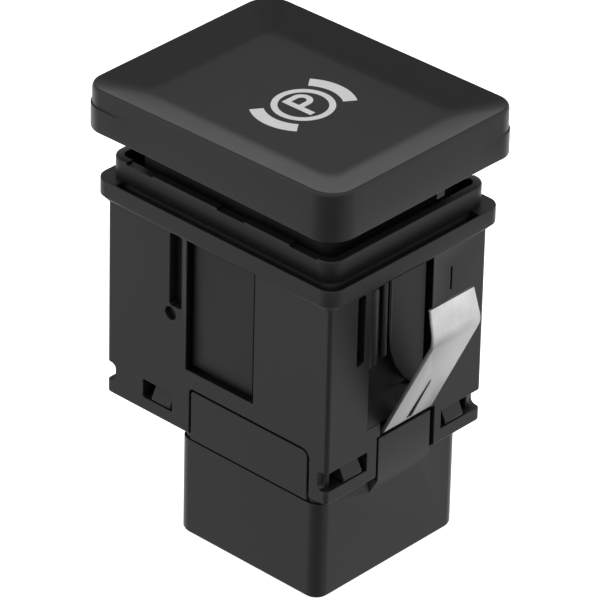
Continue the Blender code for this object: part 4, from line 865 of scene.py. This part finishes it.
def add_sign(shape, outlines):
    """Prints a flat form on the dish's floor as a thin closed layer. Later outlines are holes."""
    edges, verts = [], []
    for outline in outlines:
        loop = [shape.verts.new((p.x, p.y, CAP_CREST - DISH_DEPTH - CAP_TILT * p.y - PRINT_SUNK))
                for p in outline]
        edges += [shape.edges.new(pair) for pair in zip(loop, loop[1:] + loop[:1])]
        verts += loop
    faces = [g for g in bmesh.ops.triangle_fill(shape, use_beauty=True, edges=edges)["geom"]
             if isinstance(g, bmesh.types.BMFace)]
    raised = bmesh.ops.extrude_face_region(shape, geom=faces)["geom"]
    bmesh.ops.translate(shape, vec=(0, 0, PRINT_PROUD + PRINT_SUNK),
                        verts=[g for g in raised if isinstance(g, bmesh.types.BMVert)])
    linked = {face for g in raised if isinstance(g, bmesh.types.BMVert) for face in g.link_faces}
    bmesh.ops.recalc_face_normals(shape, faces=list(linked | set(faces)))


class SwitchSymbol(bpy.types.Operator):
    """Prints the parking brake symbol in the dish"""
    bl_idname = "switch.symbol"
    bl_label = "Symbol"

    def execute(self, context):
        shape = bmesh.new()
        add_sign(shape, [circle(SYMBOL_MIDDLE, RING_OUTER), circle(SYMBOL_MIDDLE, RING_INNER)])
        for turn in (0, 180):
            add_sign(shape, [arc_strip(turn)])
        add_sign(shape, letter_outlines())
        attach(to_object("brake_symbol", shape, symbol_print()), "button")
        return {"FINISHED"}


def symbol_print():
    """Pale print with slight unevenness."""
    material, tree, shader = new_material("symbol_print")
    grain = placed_group(tree, moulded_grain(), (-600, 0),
                         {"Grain Size": 0.2 * MM, "Flow Size": 1.2 * MM,
                          "Colour": (*settings().symbol_colour, 1), "Colour Change": 0.12,
                          "Roughness": 0.5, "Roughness Change": 0.2})
    set_surface(tree, shader, grain["Colour"], grain["Roughness"], grain["Height"], 0.002 * MM)
    return material


def board_laminate():
    """Green board with a pattern of copper tracks under its mask."""
    material = plastic("solder_mask", (0.02, 0.11, 0.05), 0.35, grain_size=0.3 * MM, grain_depth=0.002 * MM)
    tree, socket, green = base_colour(material)
    tracks = add_node(tree, "ShaderNodeTexBrick", (-650, 700),
                      {"Vector": object_place(tree, (-900, 700)), "Scale": 1 / (5 * MM), "Mortar Size": 0.03,
                       "Color1": (0, 0, 0, 1), "Color2": (0, 0, 0, 1), "Mortar": (1, 1, 1, 1)})
    mixed = add_node(tree, "ShaderNodeMix", (-150, 400), data_type="RGBA")
    for label, value in (("Factor", tracks.outputs["Color"]), ("A", green), ("B", (0.05, 0.2, 0.08, 1))):
        feed(tree, mixed.inputs[label], value)
    feed(tree, socket, mixed.outputs["Result"])
    return material


class SwitchInside(bpy.types.Operator):
    """Finishes the plunger, frame, light guide, board and terminals"""
    bl_idname = "switch.inside"
    bl_label = "Works inside"

    def execute(self, context):
        inner = plastic("moulded_inner", (0.009, 0.009, 0.0095), 0.5)
        softened("plunger", "moulded_plunger", INNER_EDGE_ROUND, inner, "button")
        softened("guide_frame", "moulded_frame", INNER_EDGE_ROUND, inner, "switch_body")
        clear = plastic("polished_clear", (0.85, 0.88, 0.88), 0.08, grain_depth=0.001 * MM, clear=0.9)
        dress("light_guide", clear)
        dress("circuit_board", board_laminate())
        dress("capacitor", metal("drawn_can", (0.6, 0.61, 0.63), 0.3, stretch=(1, 1, 0.15)))
        case = metal("plated_case", (0.6, 0.61, 0.63), 0.3)
        lamp = plastic("lamp_moulding", (0.8, 0.78, 0.7), 0.3, wear_and_sheen_amount=0.1)
        chip = plastic("glazed_chip", (0.03, 0.028, 0.025), 0.25, grain_size=0.05 * MM)
        tin = metal("tinned_pin", (0.72, 0.7, 0.66), 0.28, stretch=(1, 1, 0.1))
        pins = [f"terminal_pin_{number}" for number in range(1, PIN_COUNT + 1)]
        for material, nodes in ((case, ("contact_left", "contact_right")),
                                (lamp, ("symbol_lamp", "night_lamp")),
                                (chip, ("resistor_left", "resistor_right")), (tin, pins)):
            for node in nodes:
                dress(node, material)
        return {"FINISHED"}


# Spring clips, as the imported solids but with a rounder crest, square tip corners and a pointed slit
CLIP_THICKNESS = 0.45 * MM
CLIP_PIVOT = Vector((16.92 * MM, 19.175 * MM))
CLIP_MIDDLE = 0.15 * MM
CLIP_FOOT_WIDTH = 7.8 * MM
CLIP_CREST_WIDTH = 7.0 * MM
CLIP_TAB_LENGTH = 2.4 * MM
CLIP_RISE = 14.6 * MM
CLIP_REACH = 7.1 * MM
CLIP_TIP_RISE = 3.9 * MM
CLIP_TIP_RETURN = 1.0 * MM
CLIP_FOOT_BEND = 0.9 * MM
CLIP_CREST_BEND = 2.6 * MM
CLIP_CREST_FLARE = 0.28 * MM
CLIP_SLIT_WIDTH = (1.0 * MM, 0.35 * MM)
CLIP_SLIT_Z = (19.75 * MM, 26.1 * MM)
CLIP_FLARE_REACH = 3.2 * MM   # above and below the crest
CLIP_BEND_STEPS = 12
CLIP_SHARP_EDGE = math.radians(50)
CREST_WEAR_AND_SHEEN = (32.8 * MM, 34.6 * MM)       # heights between which the crest gets brighter, partly by wear and partly by a painted highlight
CREST_WEAR_AND_SHEEN_GAIN = 2


def bent_path(corners, radii, steps):
    """A path through the corners, with each inner corner replaced by an arc."""
    path = [corners[0]]
    for before, corner, after, radius in zip(corners, corners[1:], corners[2:], radii):
        a = (before - corner).normalized()
        b = (after - corner).normalized()
        half = a.angle(b) / 2
        reach = radius / math.tan(half)
        centre = corner + (a + b).normalized() * (radius / math.sin(half))
        start = (corner + a * reach - centre).normalized()
        end = (corner + b * reach - centre).normalized()
        path += [centre + start.slerp(end, step / steps) * radius for step in range(steps + 1)]
    path.append(corners[-1])
    return path


def clip_shape(side):
    """One clip: a strip bent at its foot and crest, with a slit up its leg."""
    foot = Vector((0, *CLIP_PIVOT))
    knee = foot + Vector((0, CLIP_REACH, CLIP_RISE))
    tip = knee + Vector((0, -CLIP_TIP_RETURN, CLIP_TIP_RISE))
    path = bent_path([foot - Vector((0, CLIP_TAB_LENGTH, 0)), foot, knee, tip],
                     (CLIP_FOOT_BEND, CLIP_CREST_BEND), CLIP_BEND_STEPS)
    sections = []
    for index, point in enumerate(path):
        tangent = (path[min(index + 1, len(path) - 1)] - path[max(index - 1, 0)]).normalized()
        normal = Vector((0, tangent.z, -tangent.y)) * (CLIP_THICKNESS / 2)
        share = min(max((point.z - foot.z) / CLIP_RISE, 0), 1)
        near_crest = 1 - min(abs(point.z - knee.z) / CLIP_FLARE_REACH, 1)
        width = CLIP_FOOT_WIDTH + (CLIP_CREST_WIDTH - CLIP_FOOT_WIDTH) * share
        half = width / 2 + CLIP_CREST_FLARE * eased(near_crest, 0, 1)
        corners = [(-half, -normal), (half, -normal), (half, normal), (-half, normal)]
        sections.append([Vector((CLIP_MIDDLE + x, (point + shift).y * side, (point + shift).z))
                         for x, shift in corners])
    shape, slit = bmesh.new(), bmesh.new()
    add_loft(shape, sections)
    (wide, narrow), (low, high) = CLIP_SLIT_WIDTH, CLIP_SLIT_Z
    outline = [(CLIP_MIDDLE - wide / 2, low), (CLIP_MIDDLE + wide / 2, low),
               (CLIP_MIDDLE + narrow / 2, high - narrow), (CLIP_MIDDLE, high),
               (CLIP_MIDDLE - narrow / 2, high - narrow)]
    add_prism(slit, outline, (side * (foot.y - CLIP_THICKNESS / 4), side * (knee.y + CLIP_THICKNESS)))
    shape = combined(shape, slit, "DIFFERENCE")
    worn = [edge for edge in shape.edges if edge.is_convex and edge.calc_face_angle() > CLIP_SHARP_EDGE]
    bmesh.ops.bevel(shape, geom=worn, offset=INNER_EDGE_ROUND, segments=2, profile=0.5, affect="EDGES",
                    clamp_overlap=True)
    return shape


def rolled_steel():
    """Dull rolled strip, brighter round its crest and tip, partly rubbed wear and partly a painted
    highlight.
    """
    steel = metal("rolled_steel", (0.425, 0.425, 0.43), 0.42, stretch=(1, 0.2, 0.2), grain_size=0.1 * MM,
                  grain_depth=0.006 * MM, contrast=0.45)
    tree, socket, colour = base_colour(steel)
    axes = add_node(tree, "ShaderNodeSeparateXYZ", (-900, 500), {0: object_place(tree, (-1100, 500))})
    # painted highlight and wear: the colour is raised with height round the crest and tip
    wear_and_sheen = ranged(tree, axes.outputs["Z"], CREST_WEAR_AND_SHEEN, (-700, 500), to=(1, CREST_WEAR_AND_SHEEN_GAIN),
                    interpolation_type="SMOOTHSTEP")
    feed(tree, socket, scaled(tree, colour, wear_and_sheen, (-100, 200)))
    return steel


class SwitchClips(bpy.types.Operator):
    """Stamps and bends the two spring clips"""
    bl_idname = "switch.clips"
    bl_label = "Spring clips"

    def execute(self, context):
        steel = rolled_steel()
        for side, node in ((-1, "front_clip"), (1, "rear_clip")):
            dress(node, steel)
            made = to_piece(node.replace("clip", "leaf"), clip_shape(side), steel, node + "_leaf",
                            smooth=40)
            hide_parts(node)
        return {"FINISHED"}


# Return springs, with closed ends
SPRING_RADIUS = 2.3 * MM
SPRING_WIRE = 0.25 * MM       # radius of the wire
SPRING_TURNS = 8
TURN_STEPS = 24
WIRE_SIDES = 10


def coil(middle, foot, top):
    """Rings of wire up one spring, from its closed foot to its closed top."""
    closed = 2 * SPRING_WIRE
    rise = top - foot - 2 * SPRING_WIRE - 2 * closed
    rings = []
    for index in range(SPRING_TURNS * TURN_STEPS + 1):
        turn = index / TURN_STEPS
        free = min(max(turn - 1, 0), SPRING_TURNS - 2) / (SPRING_TURNS - 2)
        ends = min(turn, 1) + max(turn - SPRING_TURNS + 1, 0)
        angle = 2 * math.pi * turn
        out = Vector((math.cos(angle), math.sin(angle), 0))
        height = foot + SPRING_WIRE + ends * closed + free * rise
        centre = Vector((middle.x, middle.y, height)) + out * SPRING_RADIUS
        rings.append([centre + out * SPRING_WIRE * math.cos(a) + Vector((0, 0, SPRING_WIRE * math.sin(a)))
                      for a in (2 * math.pi * k / WIRE_SIDES for k in range(WIRE_SIDES))])
    return rings


class SwitchSprings(bpy.types.Operator):
    """Winds the two return springs"""
    bl_idname = "switch.springs"
    bl_label = "Return springs"

    def execute(self, context):
        wire = metal("spring_wire", (0.45, 0.45, 0.47), 0.32)
        foot, top = SPRING_LOW.z, SPRING_HIGH.z
        for node in ("return_spring_front", "return_spring_rear"):
            low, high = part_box(node)
            shape = bmesh.new()
            add_loft(shape, coil((low + high) / 2, foot, top))
            made = to_piece(node.replace("return", "wound"), shape, wire, "switch_body",
                            smooth=60)
            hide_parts(node)
            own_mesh(made)
        return {"FINISHED"}


class SwitchStage(bpy.types.Operator):
    """Sets the floor, the light and the camera"""
    bl_idname = "switch.studio"
    bl_label = "Studio"

    def execute(self, context):
        context.scene.view_settings.view_transform = "Standard"
        make_floor()
        make_world()
        make_camera()
        return {"FINISHED"}


FLOOR_GAP = 0.01 * MM         # below the part


def make_floor():
    """A pale floor that shows as plain white to the camera."""
    size = bpy.context.scene.switch_studio.floor_size
    shape = bmesh.new()
    bmesh.ops.create_grid(shape, x_segments=8, y_segments=8, size=size / 2)
    material, tree, shader = new_material("studio_floor")
    floor = to_object("studio_floor", shape, material)
    floor.location.z = -FLOOR_GAP
    shader.inputs["Base Color"].default_value = (0.85, 0.85, 0.85, 1)
    shader.inputs["Roughness"].default_value = 0.9
    shader.inputs["Specular IOR Level"].default_value = 0.0
    path = add_node(tree, "ShaderNodeLightPath", (-400, 0))
    glow = add_node(tree, "ShaderNodeEmission", (0, -300), {"Strength": path.outputs["Is Camera Ray"]})
    both = add_node(tree, "ShaderNodeAddShader", (300, 0), {0: shader.outputs[0], 1: glow.outputs[0]})
    feed(tree, tree.nodes["Material Output"].inputs["Surface"], both.outputs[0])
    floor.visible_diffuse = floor.visible_glossy = floor.visible_shadow = False


LOBE_EDGE = 0.3               # cosine of the angle at which a soft light has faded out
LOBES = (
    # direction and strength of each soft light
    ((-0.63, 0.58, -0.52), 0.21),
    ((0.63, -0.58, -0.52), 0.51),
    ((-0.58, -0.63, -0.52), 0.23),
    ((0.60, 0.60, -0.50), 1.50),
    ((-0.65, 0.75, 0.15), 0.69),
    ((0.75, -0.65, 0.15), 0.21),
    ((-0.50, -0.50, 0.70), 0.85),
    ((-0.50, 0.50, 0.70), 0.36),
    ((0.50, -0.50, 0.70), 0.64),
)


def make_world():
    """Soft lights all round the part, with plain white behind it."""
    world = bpy.data.worlds.new("studio_light")
    bpy.context.scene.world = world
    world.use_nodes = True
    tree = world.node_tree
    tree.nodes.clear()
    where = add_node(tree, "ShaderNodeTexCoord", (-900, 0)).outputs["Generated"]
    total = bpy.context.scene.switch_studio.fill
    for index, (direction, strength) in enumerate(LOBES):
        row = -200 * index
        towards = dot(tree, where, Vector(direction).normalized(), (-700, row))
        lobe = ranged(tree, towards, (LOBE_EDGE, 1), (-500, row), to=(0, strength),
                      interpolation_type="SMOOTHSTEP")
        total = maths(tree, "ADD", (-300, row), lobe, total)
    light = add_node(tree, "ShaderNodeBackground", (0, 0), {"Strength": total})
    seen = add_node(tree, "ShaderNodeBackground", (0, -200), {"Color": (1, 1, 1, 1)})
    path = add_node(tree, "ShaderNodeLightPath", (0, 300))
    mixed = add_node(tree, "ShaderNodeMixShader", (200, 0),
                     {0: path.outputs["Is Camera Ray"], 1: light.outputs[0], 2: seen.outputs[0]})
    add_node(tree, "ShaderNodeOutputWorld", (400, 0), {"Surface": mixed.outputs[0]})


CAMERA_LENS = 366.075         # millimetres, on a sensor 36 wide
CAMERA_PLACE = (-0.43092147659, -0.39517128394, 0.38489782718)
CAMERA_TURN = (-47.5317, 31.43307, 1.37724)     # azimuth, elevation and roll in degrees


def make_camera():
    """The camera, at the photograph's angle."""
    camera = bpy.data.cameras.new("camera")
    camera.lens = CAMERA_LENS
    camera.sensor_width = 36
    camera.clip_end = 20
    made = bpy.data.objects.new("camera", camera)
    made.location = CAMERA_PLACE
    azimuth, elevation, roll = (math.radians(angle) for angle in CAMERA_TURN)
    back = Vector((math.sin(azimuth) * math.cos(elevation), -math.cos(azimuth) * math.cos(elevation),
                   math.sin(elevation)))
    made.rotation_mode = "QUATERNION"
    rolled = Matrix.Rotation(roll, 3, "Z").to_quaternion()
    made.rotation_quaternion = (-back).to_track_quat("-Z", "Y") @ rolled
    bpy.context.scene.collection.objects.link(made)
    bpy.context.scene.camera = made


OPERATORS = (SwitchHousing, SwitchCap, SwitchSymbol, SwitchClips, SwitchSprings, SwitchInside, SwitchStage)


class SwitchPanel(bpy.types.Panel):
    """Lists the switch's pieces and settings"""
    bl_idname = "VIEW3D_PT_switch"
    bl_label = "Parking Brake Switch"
    bl_space_type = "VIEW_3D"
    bl_region_type = "UI"
    bl_category = "Switch"

    def draw(self, context):
        column = self.layout.column()
        for name in SwitchFinish.__annotations__:
            column.prop(context.scene.switch_finish, name)
        for name in SwitchStudio.__annotations__:
            column.prop(context.scene.switch_studio, name)
        for operator in OPERATORS:
            column.operator(operator.bl_idname)


CLASSES = (SwitchFinish, SwitchStudio, *OPERATORS, SwitchPanel)


def register():
    for kind in CLASSES:
        bpy.utils.register_class(kind)
    bpy.types.Scene.switch_finish = bpy.props.PointerProperty(type=SwitchFinish)
    bpy.types.Scene.switch_studio = bpy.props.PointerProperty(type=SwitchStudio)


def unregister():
    del bpy.types.Scene.switch_studio
    del bpy.types.Scene.switch_finish
    for kind in reversed(CLASSES):
        bpy.utils.unregister_class(kind)


def main():
    register()
    bpy.ops.switch.housing()
    bpy.ops.switch.cap()
    bpy.ops.switch.symbol()
    bpy.ops.switch.clips()
    bpy.ops.switch.springs()
    bpy.ops.switch.inside()
    bpy.ops.switch.studio()


if __name__ == "__main__":
    main()
